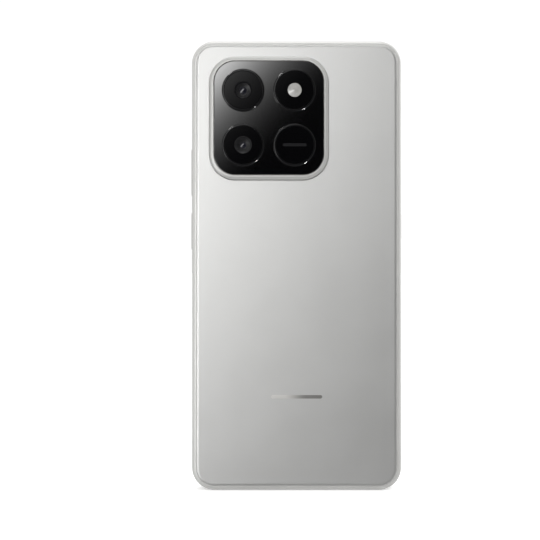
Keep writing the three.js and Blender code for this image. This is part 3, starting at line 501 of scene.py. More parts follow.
def antenna_bands(g, where, tone):
    """Narrow inlaid bands across the metal frame, near its four corners."""
    parts = g.node("ShaderNodeSeparateXYZ")
    g.link(where, parts.inputs[0])
    x, z = parts.outputs["X"], parts.outputs["Z"]
    centre = body.y1 / 2 * MM
    from_centre = g.math("ABSOLUTE", g.math("SUBTRACT", z, centre))
    along_side = g.math("SUBTRACT", from_centre, centre - BAND_FROM_END * MM)
    along_end = g.math("SUBTRACT", g.math("ABSOLUTE", x), (half_width - BAND_FROM_SIDE) * MM)
    on_side = g.math("GREATER_THAN", g.math("ABSOLUTE", x), (half_width - BAND_DEPTH) * MM)
    shoulder_y = FRONT - (body.z1 - REAR_SHOULDER[1]) * MM
    off_shoulder = g.math("GREATER_THAN", parts.outputs["Y"], shoulder_y)
    band = None
    for distance, allowed in ((along_side, on_side), (along_end, g.math("SUBTRACT", 1.0, on_side))):
        near = g.math("LESS_THAN", g.math("ABSOLUTE", distance), BAND_HALF * MM)
        here = g.math("MULTIPLY", near, allowed)
        band = here if band is None else g.math("MAXIMUM", band, here)
    return g.mix(g.math("MULTIPLY", band, off_shoulder), tone, shade(BAND_COLOR))


def cloth_holes(g, where, tone):
    """A close pattern of pinholes, as in woven speaker cloth."""
    cells = g.node("ShaderNodeTexVoronoi")
    g.link(where, cells.inputs["Vector"])
    cells.inputs["Scale"].default_value = 4000.0
    return g.mix(g.ramp(cells.outputs["Distance"], 0.2, 0.5), shade(HOLE_COLOR), tone)


def circuit_lines(g, where, tone):
    """Copper tracks under a green mask."""
    cells = g.node("ShaderNodeTexVoronoi", distance="MANHATTAN", feature="F1")
    g.link(where, cells.inputs["Vector"])
    cells.inputs["Scale"].default_value = 700.0
    return g.mix(g.ramp(cells.outputs["Distance"], 0.42, 0.5), tone, shade(TRACK_COLOR))


def painted_reflection_fade(g, where, tone):
    """A painted reflection on the cover's bar: its tone darkens from the left end to the right,
    standing in for the lamp's reflection sweeping across it.
    """
    parts = g.node("ShaderNodeSeparateXYZ")
    g.link(where, parts.inputs[0])
    left, right = INLAY_REFLECTION_FADE
    across = g.ramp(parts.outputs["X"], left * MM, right * MM)
    return g.mix(across, *[shade(color) for color in INLAY_REFLECTION_ENDS])


def foil_creases(g, where, tone):
    """Long soft creases, as in a battery's foil wrap."""
    lines = g.noise(g.stretched(where, (1.0, 1.0, 0.3)), 260.0, 5.0, 0.7)
    return g.mix(g.ramp(lines, 0.45, 0.6), tone, shade(CREASE_COLOR))


COVER = surface(
    "cover_satin", (195, 195, 194), metallic=1.0, roughness=0.44, spread=0.02, grain=9000,
    bump=0.05, blotch=60, tint=0.015, wear=0.0,
)
FRAME = surface(
    "frame_metal", (189, 189, 187), metallic=0.5, roughness=0.45, spread=0.05, grain=12000,
    bump=0.05, blotch=90, tint=0.02, wear=0.2, pattern=antenna_bands,
)
# Painted shade: the keys' metal is darker than the frame's, standing in for the shade that falls on
# them at the phone's sides
SHADED_KEYS = surface(
    "key_metal", (144, 144, 142), metallic=0.85, roughness=0.42, spread=0.05, grain=9000, bump=0.05,
    stretch=(1.0, 1.0, 0.08), blotch=200, tint=0.02,
)
ISLAND = surface(
    "island_metal", (174, 174, 172), metallic=0.55, roughness=0.42, spread=0.04, grain=12000,
    bump=0.05, blotch=120, tint=0.02,
)
BRONZE = surface(
    "island_chamfer", (112, 94, 70), metallic=1.0, roughness=0.18, grain=9000, bump=0.02,
)
PLATE = surface(
    "black_glass", (4, 4, 5), roughness=0.03, spread=0.02, grain=900, bump=0.004, blotch=90,
    wear=0.0, ior=1.68,
)
RING_EDGE = surface(
    "black_trim_bevel", (7, 7, 8), roughness=0.1, spread=0.03, grain=7000, bump=0.02, wear=0.0,
    ior=1.27,
)
RING = surface(
    "black_trim", (12, 12, 13), roughness=0.12, spread=0.05, grain=7000, bump=0.03, blotch=300,
    wear=0.0, ior=1.18,
)
LENS = surface(
    "lens_glass", (5, 5, 6), roughness=0.02, spread=0.01, grain=900, bump=0.003, blotch=90,
    wear=0.0, ior=1.16,
)
BARREL = surface(
    "lens_barrel", (11, 11, 13), roughness=0.3, grain=6000, bump=0.06, ior=1.3, wear=0.5,
)
COATED = surface(
    "coated_lens", (20, 20, 28), roughness=0.02, spread=0.01, grain=900, bump=0.0, wear=0.0,
    ior=1.42,
)
FLASH = surface(
    "flash_diffuser", (150, 149, 146), roughness=0.25, grain=3500, bump=0.08, blotch=500, tint=0.05,
    wear=0.0, coat=1.0,
)
MARKING = surface(
    "printed_bar", (15, 15, 17), roughness=0.5, grain=6000, bump=0.02, wear=0.0, ior=1.2,
)
# The bar's polished face carries a painted reflection, light at its left end and dark at its right
INLAY = surface(
    "polished_inlay", (150, 149, 146), metallic=1.0, roughness=0.36, grain=9000, bump=0.01,
    wear=0.0, pattern=painted_reflection_fade,
)
SCREEN = surface(
    "screen_glass", (5, 5, 6), roughness=0.02, spread=0.01, grain=900, bump=0.002, wear=0.0,
    ior=1.4,
)
DISPLAY = surface(
    "display_area", (9, 9, 13), roughness=0.025, spread=0.01, grain=16000, bump=0.002, blotch=50,
    wear=0.0, ior=1.4,
)
PLASTIC = surface("black_plastic", (24, 24, 26), roughness=0.55, grain=5000, bump=0.15)
CLOTH = surface(
    "speaker_cloth", (34, 34, 36), roughness=0.8, grain=5000, bump=0.2, wear=0.0,
    pattern=cloth_holes,
)
STEEL = surface(
    "can_steel", (190, 192, 196), metallic=1.0, roughness=0.34, grain=5000, bump=0.06,
    stretch=(0.15, 1.0, 1.0),
)
GOLD = surface("contact_gold", (214, 178, 108), metallic=1.0, roughness=0.25, grain=8000, bump=0.02)

# The inner pieces' finishes, under the names of the record's material slots
INNER = {
    "adhesive": surface("adhesive", (30, 30, 30), roughness=0.85, grain=2500, bump=0.3, wear=0.0),
    "magnesium": surface(
        "magnesium", (148, 151, 154), metallic=0.8, roughness=0.55, grain=2500, bump=0.25,
    ),
    "camera_black": surface(
        "camera_black", (20, 20, 22), roughness=0.45, grain=6000, bump=0.08, wear=0.3,
    ),
    "black_plastic": PLASTIC,
    "circuit_board": surface(
        "circuit_board", (22, 84, 58), roughness=0.45, grain=4000, bump=0.05, pattern=circuit_lines,
    ),
    "chip": surface("chip", (26, 27, 28), roughness=0.5, grain=7000, bump=0.08),
    "thermal_pad": surface(
        "thermal_pad", (140, 144, 152), roughness=0.85, grain=2000, bump=0.3, wear=0.0,
    ),
    "can_steel": STEEL,
    "copper": surface(
        "copper", (196, 120, 74), metallic=1.0, roughness=0.35, grain=5000, bump=0.05,
    ),
    "battery_foil": surface(
        "battery_foil", (46, 47, 50), metallic=0.2, roughness=0.5, grain=3000, bump=0.12,
        pattern=foil_creases,
    ),
    "graphite": surface(
        "graphite", (58, 59, 62), metallic=0.4, roughness=0.5, grain=1500, bump=0.2,
    ),
    "flex_circuit": surface(
        "flex_circuit", (178, 112, 42), roughness=0.4, grain=3000, bump=0.08, coat=0.4,
        pattern=circuit_lines,
    ),
    "cable_sheath": surface("cable_sheath", (24, 24, 24), roughness=0.6, grain=5000, bump=0.1),
    "screw_steel": surface(
        "screw_steel", (160, 163, 168), metallic=1.0, roughness=0.3, grain=6000, bump=0.06,
    ),
    "display": DISPLAY,
}

# ---------------------------------------------------------------------------------------------------
# Side frame
# ---------------------------------------------------------------------------------------------------

FRAME_CORNER = (body.x0, body.y0, body.x1, body.y1, CORNER_RADIUS)
rear_ledge, front_ledge = FRAME_LEDGES
cover_pocket = COVER_INSET - COVER_GAP
glass_pocket = GLASS_INSET - EDGE_GAP


def frame_profile():
    """(inset, z) points round the band's section."""
    front_width, front_rise = FRONT_SHOULDER
    rear_width, rear_rise = REAR_SHOULDER
    front_side = body.z0 + front_rise
    rear_side = body.z1 - rear_rise
    front = [(inset, front_side - rise) for inset, rise in shoulder(front_width, front_rise)][::-1]
    rear = [(inset, rear_side + rise) for inset, rise in shoulder(rear_width, rear_rise)]
    inside = [
        (cover_pocket - SOFT_EDGE, body.z1),
        (cover_pocket, body.z1 - SOFT_EDGE),
        (cover_pocket, rear_ledge),
        (FRAME_WALL, rear_ledge),
        (FRAME_WALL, front_ledge),
        (glass_pocket, front_ledge),
        (glass_pocket, body.z0 + SOFT_EDGE),
        (glass_pocket - SOFT_EDGE, body.z0),
    ]
    return front + rear + inside


def opening(outline, to_scene, flare=0.1, depth=FRAME_WALL + 1.0):
    """A cutter through the wall whose mouth is flared, so the edge it leaves is chamfered."""
    wide = outline(flare * 2)
    return loft(sideways([(outline(0.0), -depth), (outline(0.0), -flare), (wide, flare)], to_scene))


def grown_pill(length, height):
    """A pill outline that opening() can make larger."""
    return lambda more: pill(length + 2 * more, height + 2 * more)


def grown_circle(radius):
    """A circle outline that opening() can make larger."""
    return lambda more: circle(radius + more, sides=32)


KEY_SIDES = {"volume_key": "left", "power_key": "left", "side_key": "right"}
KEY_BODIES = {"volume_key": "volume_rocker", "power_key": "power_button", "side_key": "side_button"}
lip_extra, lip_thickness, lip_height, lip_radius = KEY_LIP


def key_length(node):
    s = span(node)
    return s.y1 - s.y0 - 2 * lip_extra


tray = middle("sim_tray")
socket = middle("usb_socket")
speaker_count, speaker_radius, speaker_pitch = SPEAKER_HOLES
door_length, door_height, door_depth = TRAY_DOOR
pin_radius, pin_gap = EJECT_HOLE

openings = []
for node, side in KEY_SIDES.items():
    x, y, z = middle(node)
    slot_outline = grown_pill(key_length(node) + 2 * SLIDE_GAP, KEY_HEIGHT + 2 * SLIDE_GAP)
    openings.append(opening(slot_outline, out_of(side, x, y, z)))
door_outline = grown_pill(door_length + 2 * EDGE_GAP, door_height + 2 * EDGE_GAP)
openings.append(opening(door_outline, out_of("right", 0, tray[1], tray[2]), flare=0.05))
pin_y = tray[1] - door_length / 2 - pin_gap
openings.append(opening(grown_circle(pin_radius), out_of("right", 0, pin_y, tray[2])))
usb = span("usb_socket")
usb_width, usb_height = usb.x1 - usb.x0, usb.z1 - usb.z0
usb_outline = grown_pill(usb_width + 2 * SLIDE_GAP, usb_height + 2 * SLIDE_GAP)
openings.append(opening(usb_outline, out_of("down", socket[0], 0, socket[2]), flare=0.15))
mic_x = middle("microphone")[0]
openings.append(opening(grown_circle(MIC_HOLE), out_of("down", mic_x, 0, socket[2])))
for i in range(speaker_count):
    x = middle("loudspeaker")[0] + (i - (speaker_count - 1) / 2) * speaker_pitch
    openings.append(opening(grown_circle(speaker_radius), out_of("down", x, 0, socket[2])))

band_rings = [(rounded(*FRAME_CORNER, inset), z) for inset, z in frame_profile()]
band = loft(layered(band_rings), closed=True)
build("frame_band", cut(band, openings, [FRAME]), [FRAME], ["side_frame"])

# ---------------------------------------------------------------------------------------------------
# Rear cover
# ---------------------------------------------------------------------------------------------------

cover = span("rear_cover")
trim = span("camera_trim")
plate = span("camera_plate")
flange_width, flange_thickness = FLANGE
island = (
    trim.x0 + flange_width,
    trim.y0 + flange_width,
    trim.x1 - flange_width,
    trim.y1 - flange_width,
)
COVER_CORNER = (cover.x0, cover.y0, cover.x1, cover.y1, CORNER_RADIUS - COVER_INSET)
edge_width, edge_rise = COVER_EDGE
cover_rings = [(rounded(*COVER_CORNER), cover.z0)]
for inset, rise in shoulder(edge_width, edge_rise):
    cover_rings.append((rounded(*COVER_CORNER, inset), cover.z1 - edge_rise + rise))
cover_rings += [
    (rounded(*island, ISLAND_RADIUS, -EDGE_GAP - SOFT_EDGE), cover.z1),
    (rounded(*island, ISLAND_RADIUS, -EDGE_GAP), cover.z1 - SOFT_EDGE),
    (rounded(*island, ISLAND_RADIUS, -EDGE_GAP), cover.z0),
]
build("cover_panel", loft(layered(cover_rings), closed=True), [COVER], ["rear_cover"])

# ---------------------------------------------------------------------------------------------------
# Camera island
# ---------------------------------------------------------------------------------------------------

LENSES = {name: middle(f"{name}_ring")[:2] for name in ("main", "second", "flash", "sensor")}
top_width, top_rise = TRIM_EDGE
pocket = TRIM_BORDER - EDGE_GAP
trim_rings = [
    (rounded(*island, ISLAND_RADIUS, -flange_width), trim.z0),
    (rounded(*island, ISLAND_RADIUS, -flange_width), trim.z0 + flange_thickness),
    (rounded(*island, ISLAND_RADIUS), trim.z0 + flange_thickness),
]
for inset, rise in shoulder(top_width, top_rise, 14):
    trim_rings.append((rounded(*island, ISLAND_RADIUS, inset), trim.z1 - top_rise + rise))
chamfer_band = len(trim_rings)
trim_rings += [
    (rounded(*island, ISLAND_RADIUS, pocket - TRIM_CHAMFER), trim.z1),
    (rounded(*island, ISLAND_RADIUS, pocket), trim.z1 - TRIM_CHAMFER),
    (rounded(*island, ISLAND_RADIUS, pocket), TRIM_FLOOR),
]
plateau = loft(layered(trim_rings), finishes={chamfer_band: 1, chamfer_band + 1: 1})


def pierce(radius):
    """Cutters through the island at each lens."""
    return [turned([(radius, 0.0), (radius, PIERCE_TO)], at) for at in LENSES.values()]


plateau_mesh = cut(plateau, pierce(TRIM_WINDOW), [ISLAND, BRONZE])
build("island_plateau", plateau_mesh, [ISLAND, BRONZE], ["camera_trim"])

plate_radius = ISLAND_RADIUS - TRIM_BORDER
PLATE_CORNER = (plate.x0, plate.y0, plate.x1, plate.y1, plate_radius)
plate_rings = [(rounded(*PLATE_CORNER), plate.z0)]
for inset, rise in shoulder(PLATE_EDGE, PLATE_EDGE, 5):
    plate_rings.append((rounded(*PLATE_CORNER, inset), plate.z1 - PLATE_EDGE + rise))
ring = span("main_ring")
ring_radius = (ring.x1 - ring.x0) / 2
ring_top = ring.z1
spigot = ring_radius - RING_SPIGOT
plate_mesh = cut(loft(layered(plate_rings)), pierce(spigot + EDGE_GAP), [PLATE])
build("island_glass", plate_mesh, [PLATE], ["camera_plate"])

window = span("sensor_window")
glass_radius = (window.x1 - window.x0) / 2
ring_pocket = ring_radius - RING_WALL
ring_foot = plate.z1 + RING_CLEARANCE
ring_opening = ring_pocket - RING_SEAT
ring_seat = window.z0 - RING_CLEARANCE


def ring_profile():
    """(radius, z) points round a ring's section, and the finishes of the bands between them."""
    below = [
        (ring_opening, plate.z0),
        (spigot, plate.z0),
        (spigot, ring_foot),
        (ring_radius - RING_FOOT_EDGE, ring_foot),
    ]
    curve = shoulder(RING_BEVEL, RING_BEVEL, RING_BEVEL_STEPS)
    side = [(ring_radius, ring_foot + RING_FOOT_EDGE)]
    side += [(ring_radius - inset, ring_top - RING_BEVEL + rise) for inset, rise in curve]
    inside = [
        (ring_pocket + RING_LIP, ring_top),
        (ring_pocket, ring_top - RING_LIP),
        (ring_pocket, ring_seat),
        (ring_opening, ring_seat),
    ]
    bevel_bands = {len(below) + k: 1 for k in range(len(curve))}
    return below + side + inside, bevel_bands


def rounded_rim(radius, top):
    """(radius, z) points up the rounded outer edge of a window."""
    curve = shoulder(MASK_EDGE, MASK_EDGE, 5)
    return [(radius - inset, top - MASK_EDGE + rise) for inset, rise in curve]


def mask_profile(hole):
    """A black glass washer with a rounded outer edge and a fine inner chamfer."""
    return [
        (hole + MASK_BACK, window.z0),
        (glass_radius, window.z0),
        *rounded_rim(glass_radius, window.z1),
        (hole + SOFT_EDGE, window.z1),
        (hole, window.z1 - SOFT_EDGE),
    ]


profile, bevel_bands = ring_profile()
bezels = []
for name, at in LENSES.items():
    bezel = turned(profile, at, closed=True, finishes=bevel_bands)
    bezels.append(build(f"{name}_bezel", bezel, [RING, RING_EDGE], [f"{name}_ring"]))


def camera_eye(name, node, scale):
    """The parts seen in a camera's window: mask, stepped barrel and front element."""
    at = LENSES[name]
    mask = turned(mask_profile(LENS_WINDOW), at, closed=True)
    build(f"{name}_mask", mask, [LENS], [node])

    step_in, step_down = BARREL_STEP
    face_in, face_down = BARREL_FACE
    floor_in, floor_down = BARREL_FLOOR
    foot_radius, top_radius = BARREL_OUTSIDE
    radius, z = BARREL_MOUTH * scale, window.z0 - 0.1
    barrel = [(LENS_WINDOW - 0.02, window.z1 - 0.1)]
    for _ in range(BARREL_STEPS):
        barrel += [(radius, z), (radius - face_in, z - face_down)]
        barrel.append((radius - floor_in * scale, z - floor_down))
        radius, z = radius - step_in * scale, z - step_down
    barrel += [
        (radius, z - BARREL_BASE),
        (foot_radius * scale, z - BARREL_BASE),
        (top_radius * scale, window.z0 - 0.14),
        (LENS_WINDOW + 0.1, ring_seat - EDGE_GAP),
    ]
    build(f"{name}_barrel", turned(barrel, at, closed=True), [BARREL], [node])

    radius += 0.02
    quarter = [math.pi / 2 * k / 12 for k in range(13)]
    dome = [(radius * math.sin(t), z + LENS_DOME * math.cos(t)) for t in reversed(quarter)]
    element = turned([(0.0, z - 0.1), (radius, z - 0.1)] + dome, at)
    build(f"{name}_element", element, [COATED], [node])


camera_eye("main", "main_lens_glass", 1.0)
camera_eye("second", "second_lens_glass", SECOND_LENS_SCALE)

# The flash is a black washer round a ribbed diffuser
flash = span("flash_lens")
flash_radius = (flash.x1 - flash.x0) / 2
washer = turned(mask_profile(flash_radius + EDGE_GAP), LENSES["flash"], closed=True)
build("flash_mask", washer, [LENS], ["flash_insert"])
ribs = [
    (0.0, flash.z0),
    (flash_radius, flash.z0),
    (flash_radius, flash.z1 - 0.12),
    (flash_radius - 0.1, flash.z1 - 0.04),
]
ribbed = flash_radius - RIB_BORDER
for k in range(RIB_COUNT):
    outer = ribbed * (RIB_COUNT - k) / RIB_COUNT
    inner = ribbed * (RIB_COUNT - k - 1) / RIB_COUNT
    ribs += [(outer, flash.z1 - RIB_VALLEY), (max(inner + 0.04, 0.0), flash.z1 - RIB_RIDGE)]
ribs.append((0.0, flash.z1 - RIB_RIDGE))
diffuser = turned(ribs, LENSES["flash"], sides=64)
build("flash_diffuser", diffuser, [FLASH], ["flash_lens"], sharp=0.2)

# The sensor window is solid black glass with one plain printed bar
solid = [(0.0, window.z0), (glass_radius, window.z0)]
solid += rounded_rim(glass_radius, window.z1) + [(0.0, window.z1)]
build("sensor_disc", turned(solid, LENSES["sensor"]), [LENS], ["sensor_window"])


def raised_bar(name, centre, size, top, material, node):
    """A thin bar with round ends, let into a face and just proud of it."""
    x, y = centre
    length, height, rise = size
    rings = []
    for inset, z in ((0.0, top - 0.05), (0.0, top + rise / 2), (0.02, top + rise)):
        rings.append(([(x + u, y + v) for u, v in pill(length, height, inset)], z))
    build(name, loft(layered(rings)), [material], [node])


raised_bar(
    "sensor_bar", LENSES["sensor"], SENSOR_BAR, window.z1, MARKING, "sensor_window"
)
raised_bar("cover_bar", (0.0, COVER_BAR_Y), COVER_BAR, cover.z1, INLAY, "rear_cover")

# ---------------------------------------------------------------------------------------------------
# Keys
# ---------------------------------------------------------------------------------------------------

for node, side in KEY_SIDES.items():
    s = span(node)
    x, y, z = middle(node)
    outside = max(abs(s.x0), abs(s.x1)) - half_width
    inside = min(abs(s.x0), abs(s.x1)) - half_width
    length = key_length(node)
    lip_end, lip_side = length / 2 + lip_extra, lip_height / 2
    lip = rounded(-lip_end, -lip_side, lip_end, lip_side, lip_radius, steps=12)
    rings = [
        (lip, inside),
        (lip, inside + lip_thickness),
        (pill(length, KEY_HEIGHT), inside + lip_thickness),
    ]
    for inset, rise in shoulder(KEY_EDGE, KEY_EDGE, 8):
        rings.append((pill(length, KEY_HEIGHT, inset), outside - KEY_EDGE + rise))
    cap = loft(sideways(rings, out_of(side, x, y, z)))
    build(f"{node}_cap", cap, [SHADED_KEYS], [node], rides=KEY_BODIES[node])

# ---------------------------------------------------------------------------------------------------
# Card tray
# ---------------------------------------------------------------------------------------------------

to_tray = out_of("right", 0, tray[1], tray[2])
door_rings = [
    (pill(door_length, door_height, 0.05), -door_depth),
    (pill(door_length, door_height), -door_depth + 0.05),
    (pill(door_length, door_height), -0.06),
    (pill(door_length, door_height, 0.02), -0.018),
    (pill(door_length, door_height, 0.06), 0.0),
]
door = loft(sideways(door_rings, to_tray))
build("tray_door", door, [FRAME], ["sim_tray"], rides="card_tray")
blade_end = span("sim_tray").x0 - half_width
blade_width, blade_thickness = TRAY_BLADE


def blade_outline(inset=0.0):
    u, v = blade_width / 2 - inset, blade_thickness / 2 - inset
    return rounded(-u, -v, u, v, 0.1, steps=4)


blade_rings = [
    (blade_outline(TRAY_BLADE_END), blade_end),
    (blade_outline(), blade_end + TRAY_BLADE_END),
    (blade_outline(), -door_depth),
]
blade = loft(sideways(blade_rings, to_tray))
card_length, card_width, card_corner = CARD_POCKET
pockets = []
for i in range(CARD_COUNT):
    outer = -FRAME_WALL - CARD_GAP - i * (card_length + CARD_GAP)
    rim = rounded(-card_width / 2, outer - card_length, card_width / 2, outer, card_corner, steps=6)
    pockets.append(loft([[to_tray(u, v, w) for u, w in rim] for v in BLADE_CUT]))
blade = cut(blade, pockets, [FRAME])
build("tray_blade", blade, [FRAME], ["sim_tray"], rides="card_tray")

# ---------------------------------------------------------------------------------------------------
# Socket
# ---------------------------------------------------------------------------------------------------

usb_deep = usb.y0 - usb.y1
to_socket = out_of("down", socket[0], usb.y0, socket[2])
shell_rings = [
    (pill(usb_width, usb_height), usb_deep),
    (pill(usb_width, usb_height), -0.1),
    (pill(usb_width, usb_height, 0.03), -0.03),
    (pill(usb_width, usb_height, 0.1), 0.0),
    (pill(usb_width, usb_height, 0.2), 0.0),
    (pill(usb_width, usb_height, 0.27), -0.03),
    (pill(usb_width, usb_height, SOCKET_WALL), -0.1),
    (pill(usb_width, usb_height, SOCKET_WALL), usb_deep + SOCKET_FLOOR),
]
build("socket_shell", loft(sideways(shell_rings, to_socket)), [STEEL], ["usb_socket"])

# Inside the shell, a tongue with a row of contacts on both faces
tongue_width, tongue_height, tongue_radius = TONGUE
tongue_rings = []
for inset, w in ((0.0, usb_deep + SOCKET_FLOOR - 0.1), (0.0, -1.0), (0.05, -0.88), (0.14, -0.8)):
    u, v = tongue_width / 2 - inset, tongue_height / 2 - inset
    tongue_rings.append((rounded(-u, -v, u, v, tongue_radius, steps=6), w))
tongue = loft(sideways(tongue_rings, to_socket))
build("socket_tongue", tongue, [PLASTIC], ["usb_socket"])
contacts = bmesh.new()
contact_u, contact_v = CONTACT_HALF
for face in (-tongue_height / 2, tongue_height / 2):
    for k in range(CONTACT_COUNT):
        u = (k - (CONTACT_COUNT - 1) / 2) * CONTACT_PITCH
        corners = [
            contacts.verts.new(to_socket(u + du, face + dv, w))
            for du in (-contact_u, contact_u)
            for dv in (-contact_v, contact_v)
            for w in CONTACT_ENDS
        ]
        bmesh.ops.convex_hull(contacts, input=corners)
build("socket_contacts", contacts, [GOLD], ["usb_socket"])

# ---------------------------------------------------------------------------------------------------
# Front glass
# ---------------------------------------------------------------------------------------------------

glass = span("front_glass")
GLASS_CORNER = (glass.x0, glass.y0, glass.x1, glass.y1, CORNER_RADIUS - GLASS_INSET)
glass_width, glass_rise = GLASS_EDGE
glass_rings = [(rounded(*GLASS_CORNER), glass.z1)]
for inset, rise in shoulder(glass_width, glass_rise, 8):
    glass_rings.append((rounded(*GLASS_CORNER, inset), glass_rise - rise))
glass_rings.append((rounded(*GLASS_CORNER, BEZEL), 0.0))
front_eye = middle("front_camera")[:2]
slit_length, slit_depth = EAR_SLIT
eye_hole = turned([(FRONT_EYE, z) for z in GLASS_CUT], front_eye, sides=64)
slit_low, slit_high = glass.y1 - slit_depth, glass.y1 + 2.0
slit_outline = rounded(-slit_length / 2, slit_low, slit_length / 2, slit_high, 0.2, steps=4)
slit = loft(layered([(slit_outline, z) for z in GLASS_CUT]))
whole_glass = loft(layered(glass_rings), finishes={"last": 1})
glass_mesh = cut(whole_glass, [eye_hole, slit], [SCREEN, DISPLAY])
build("screen", glass_mesh, [SCREEN, DISPLAY], ["front_glass"])

# The front camera's window: a flat rim, a cone, and a coated dome
eye = FRONT_EYE - 0.02
dome_radius, dome_foot, dome_rise = 0.9, 0.24, 0.16
eye_profile = [
    (0.0, 0.68),
    (eye, 0.68),
    (eye, 0.06),
    (eye - 0.04, 0.02),
    (1.25, 0.02),
    (1.15, 0.12),
    (1.0, 0.2),
    (dome_radius, dome_foot),
]
first_dome = len(eye_profile) - 1
quarter = [math.pi / 2 * k / 8 for k in range(1, 9)]
eye_profile += [(dome_radius * math.cos(t), dome_foot - dome_rise * math.sin(t)) for t in quarter]
dome_finish = {k: 1 for k in range(first_dome, len(eye_profile))}
eye_mesh = turned(eye_profile, front_eye, sides=64, finishes=dome_finish)
build("front_eye", eye_mesh, [SCREEN, COATED], ["front_glass"])

ear_rings = []
for inset, z in ((0.0, 0.5), (0.0, 0.2), (0.06, 0.14)):
    side = slit_length / 2 - 0.05 - inset
    low, high = glass.y1 - slit_depth + 0.05 + inset, glass.y1 - 0.02 - inset
    ear_rings.append((rounded(-side, low, side, high, 0.15, steps=4), z))
build("ear_cloth", loft(layered(ear_rings)), [CLOTH], ["front_glass"])

# ---------------------------------------------------------------------------------------------------
# Inner pieces keep their CAD shapes. The outer nodes are replaced, and need no finish.
# ---------------------------------------------------------------------------------------------------

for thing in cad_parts.values():
    materials = thing.data.materials
    slot = materials[0].name.split(".")[0] if materials and materials[0] else ""
    if slot in INNER:
        materials.clear()
        materials.append(INNER[slot])

# ---------------------------------------------------------------------------------------------------
# Camera and floor
# ---------------------------------------------------------------------------------------------------

CAMERA_X, CAMERA_Z = -9.64, 79.82
CAMERA_DISTANCE = 300.0  # from the plane where the phone's outline lies
OUTLINE_PLANE = 6.3
LENS_MM, SENSOR_MM = 55.0, 36.0
FLOOR_RADIUS = 20.0

scene = bpy.context.scene
scene.view_settings.view_transform = "Standard"

camera_data = bpy.data.cameras.new("camera")
camera_data.lens = LENS_MM
camera_data.sensor_width = SENSOR_MM
camera_data.clip_start = 0.01
camera_data.clip_end = 100.0
camera = bpy.data.objects.new("camera", camera_data)
scene.collection.objects.link(camera)
camera.location = place(CAMERA_X, CAMERA_Z, OUTLINE_PLANE + CAMERA_DISTANCE)
camera.rotation_euler = (math.pi / 2, 0.0, 0.0)
scene.camera = camera

floor_mesh = bmesh.new()
bmesh.ops.create_circle(floor_mesh, cap_ends=True, segments=96, radius=FLOOR_RADIUS)
floor_data = bpy.data.meshes.new("floor")
floor_mesh.to_mesh(floor_data)
floor_mesh.free()
floor = bpy.data.objects.new("floor", floor_data)
scene.collection.objects.link(floor)
floor_data.materials.append(surface(
    "floor_paper", (250, 250, 250), roughness=0.9, grain=300, bump=0.0, tint=0.0, wear=0.0, ior=1.2,
    emission=0.3,
))
floor.visible_glossy = False
floor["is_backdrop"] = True

# ---------------------------------------------------------------------------------------------------
# Studio light
# ---------------------------------------------------------------------------------------------------

# Levels of the studio's light, by direction. The rear faces -Y, so the camera stands at -Y.
DARK = 0.008  # straight behind the camera, which the flat black glass reflects
MIDDLE = 0.42  # in the zone round that
SURROUND = 1.0  # everywhere else
BEHIND = 0.25  # as a share, straight out of the screen
LOW_SHARE, HIGH_SHARE = 0.72, 1.2
LAMP = 12.0  # in front of the rear, up to its left
SCREEN_LAMP = 2.5
RIM_LIGHT = 0.8  # in front, down to the right
BOUNCE_LEFT, BOUNCE_RIGHT = 1.2, 0.05  # from the floor in front
SEEN_BY_CAMERA = 1.05
SCREEN_LAMP_AIM = (0.6, 0.75, 0.28)
UP_LEFT = (-0.7071, 0.0, 0.7071)
UP_RIGHT = (0.7071, 0.0, 0.7071)
SUN_ANGLE, SUN_POWER = 40.0, 0.8

world = bpy.data.worlds.new("studio")
scene.world = world
world.use_nodes = True
g = Graph(world.node_tree)
look = g.node("ShaderNodeTexCoord").outputs["Generated"]
axes = g.node("ShaderNodeSeparateXYZ")
g.link(look, axes.inputs[0])
look_y, look_z = axes.outputs["Y"], axes.outputs["Z"]
slant = g.dot(look, UP_LEFT)
cross = g.dot(look, UP_RIGHT)
in_front = g.ramp(look_y, -0.5, -0.2, 1.0, 0.0)

# Walls: dark behind the camera, then the middle level, then full, and brighter upwards
round_axis = g.ramp(look_y, -0.93, -0.72)
far_off = g.ramp(g.dot(look, (-0.1, 1.0, 0.0)), -0.8, -0.25)
rise = g.math("MULTIPLY", far_off, SURROUND - MIDDLE)
walls = g.math("ADD", g.math("MULTIPLY", round_axis, MIDDLE), rise)
walls = g.math("MULTIPLY", walls, g.ramp(look_z, -0.7, 0.8, LOW_SHARE, HIGH_SHARE))
walls = g.math("MULTIPLY", walls, g.ramp(look_y, 0.5, 0.97, 1.0, BEHIND))
screen_lamp = g.ramp(g.dot(look, SCREEN_LAMP_AIM), 0.86, 0.99, 0.0, SCREEN_LAMP)
walls = g.math("MAXIMUM", g.math("ADD", walls, screen_lamp), DARK)

# Light from the floor in front, which fades from left to right, and a rim light at the lower right
bounce = g.math("MULTIPLY", g.math("MULTIPLY", g.ramp(look_z, 0.06, -0.14), in_front),
                g.ramp(slant, -0.32, 0.08, BOUNCE_RIGHT, BOUNCE_LEFT))
rim_light = g.math("MULTIPLY", g.ramp(slant, -0.46, -0.66, 0.0, RIM_LIGHT), in_front)
walls = g.math("MAXIMUM", g.math("MAXIMUM", walls, bounce), rim_light)

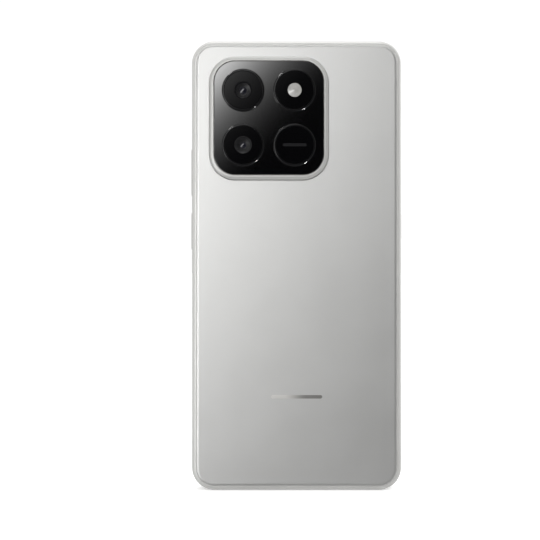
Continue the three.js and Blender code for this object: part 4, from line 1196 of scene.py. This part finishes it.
# The lamp: a band across the slant, brightest at its lower edge, and faded at both ends
rise_in = g.math("POWER", g.ramp(slant, 0.07, 0.22, smooth=False), 4.5)
fall_off = g.ramp(slant, 0.2, 0.42, 1.0, 0.0)
ends = g.ramp(g.math("ABSOLUTE", g.math("ADD", cross, 0.12)), 0.28, 0.58, 1.0, 0.0)
lamp = g.math("MULTIPLY", g.math("MULTIPLY", rise_in, fall_off), g.math("MULTIPLY", ends, in_front))
light = g.math("ADD", walls, g.math("MULTIPLY", lamp, LAMP))

# The camera sees a plain white background
level = g.node("ShaderNodeMix", data_type="FLOAT")
g.link(g.node("ShaderNodeLightPath").outputs["Is Camera Ray"], level.inputs[0])
g.link(light, level.inputs[2])
level.inputs[3].default_value = SEEN_BY_CAMERA
background = g.node("ShaderNodeBackground")
background.inputs["Color"].default_value = (1.0, 1.0, 0.995, 1.0)
g.link(level.outputs[0], background.inputs["Strength"])
g.link(background.outputs[0], g.node("ShaderNodeOutputWorld").inputs[0])

sun = bpy.data.lights.new("overhead", "SUN")
sun.angle = math.radians(SUN_ANGLE)
sun.energy = SUN_POWER
overhead = bpy.data.objects.new("overhead", sun)
scene.collection.objects.link(overhead)
overhead.location = (0.0, 0.0, 2.0)

# Two small lamps beside the phone, as (place, size, power). They light only the rings, whose bevels
# show them as glints.
GLINT_AIM = Vector((-0.01, 0.0, 0.135))
GLINTS = {
    "glint_upper": ((-0.45, 0.0, 0.80), 0.2, 9.0),
    "glint_lower": ((0.092, 0.0, 0.006), 0.034, 1.6),
}
lit_rings = bpy.data.collections.new("lit_by_small_lamps")
for bezel in bezels:
    lit_rings.objects.link(bezel)
for name, (where, size, power) in GLINTS.items():
    data = bpy.data.lights.new(name, "AREA")
    data.shape = "DISK"
    data.size = size
    data.energy = power
    glint = bpy.data.objects.new(name, data)
    scene.collection.objects.link(glint)
    glint.location = where
    glint.rotation_euler = (GLINT_AIM - Vector(where)).to_track_quat("-Z", "Y").to_euler()
    glint.visible_camera = False
    glint.light_linking.receiver_collection = lit_rings

low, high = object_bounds()
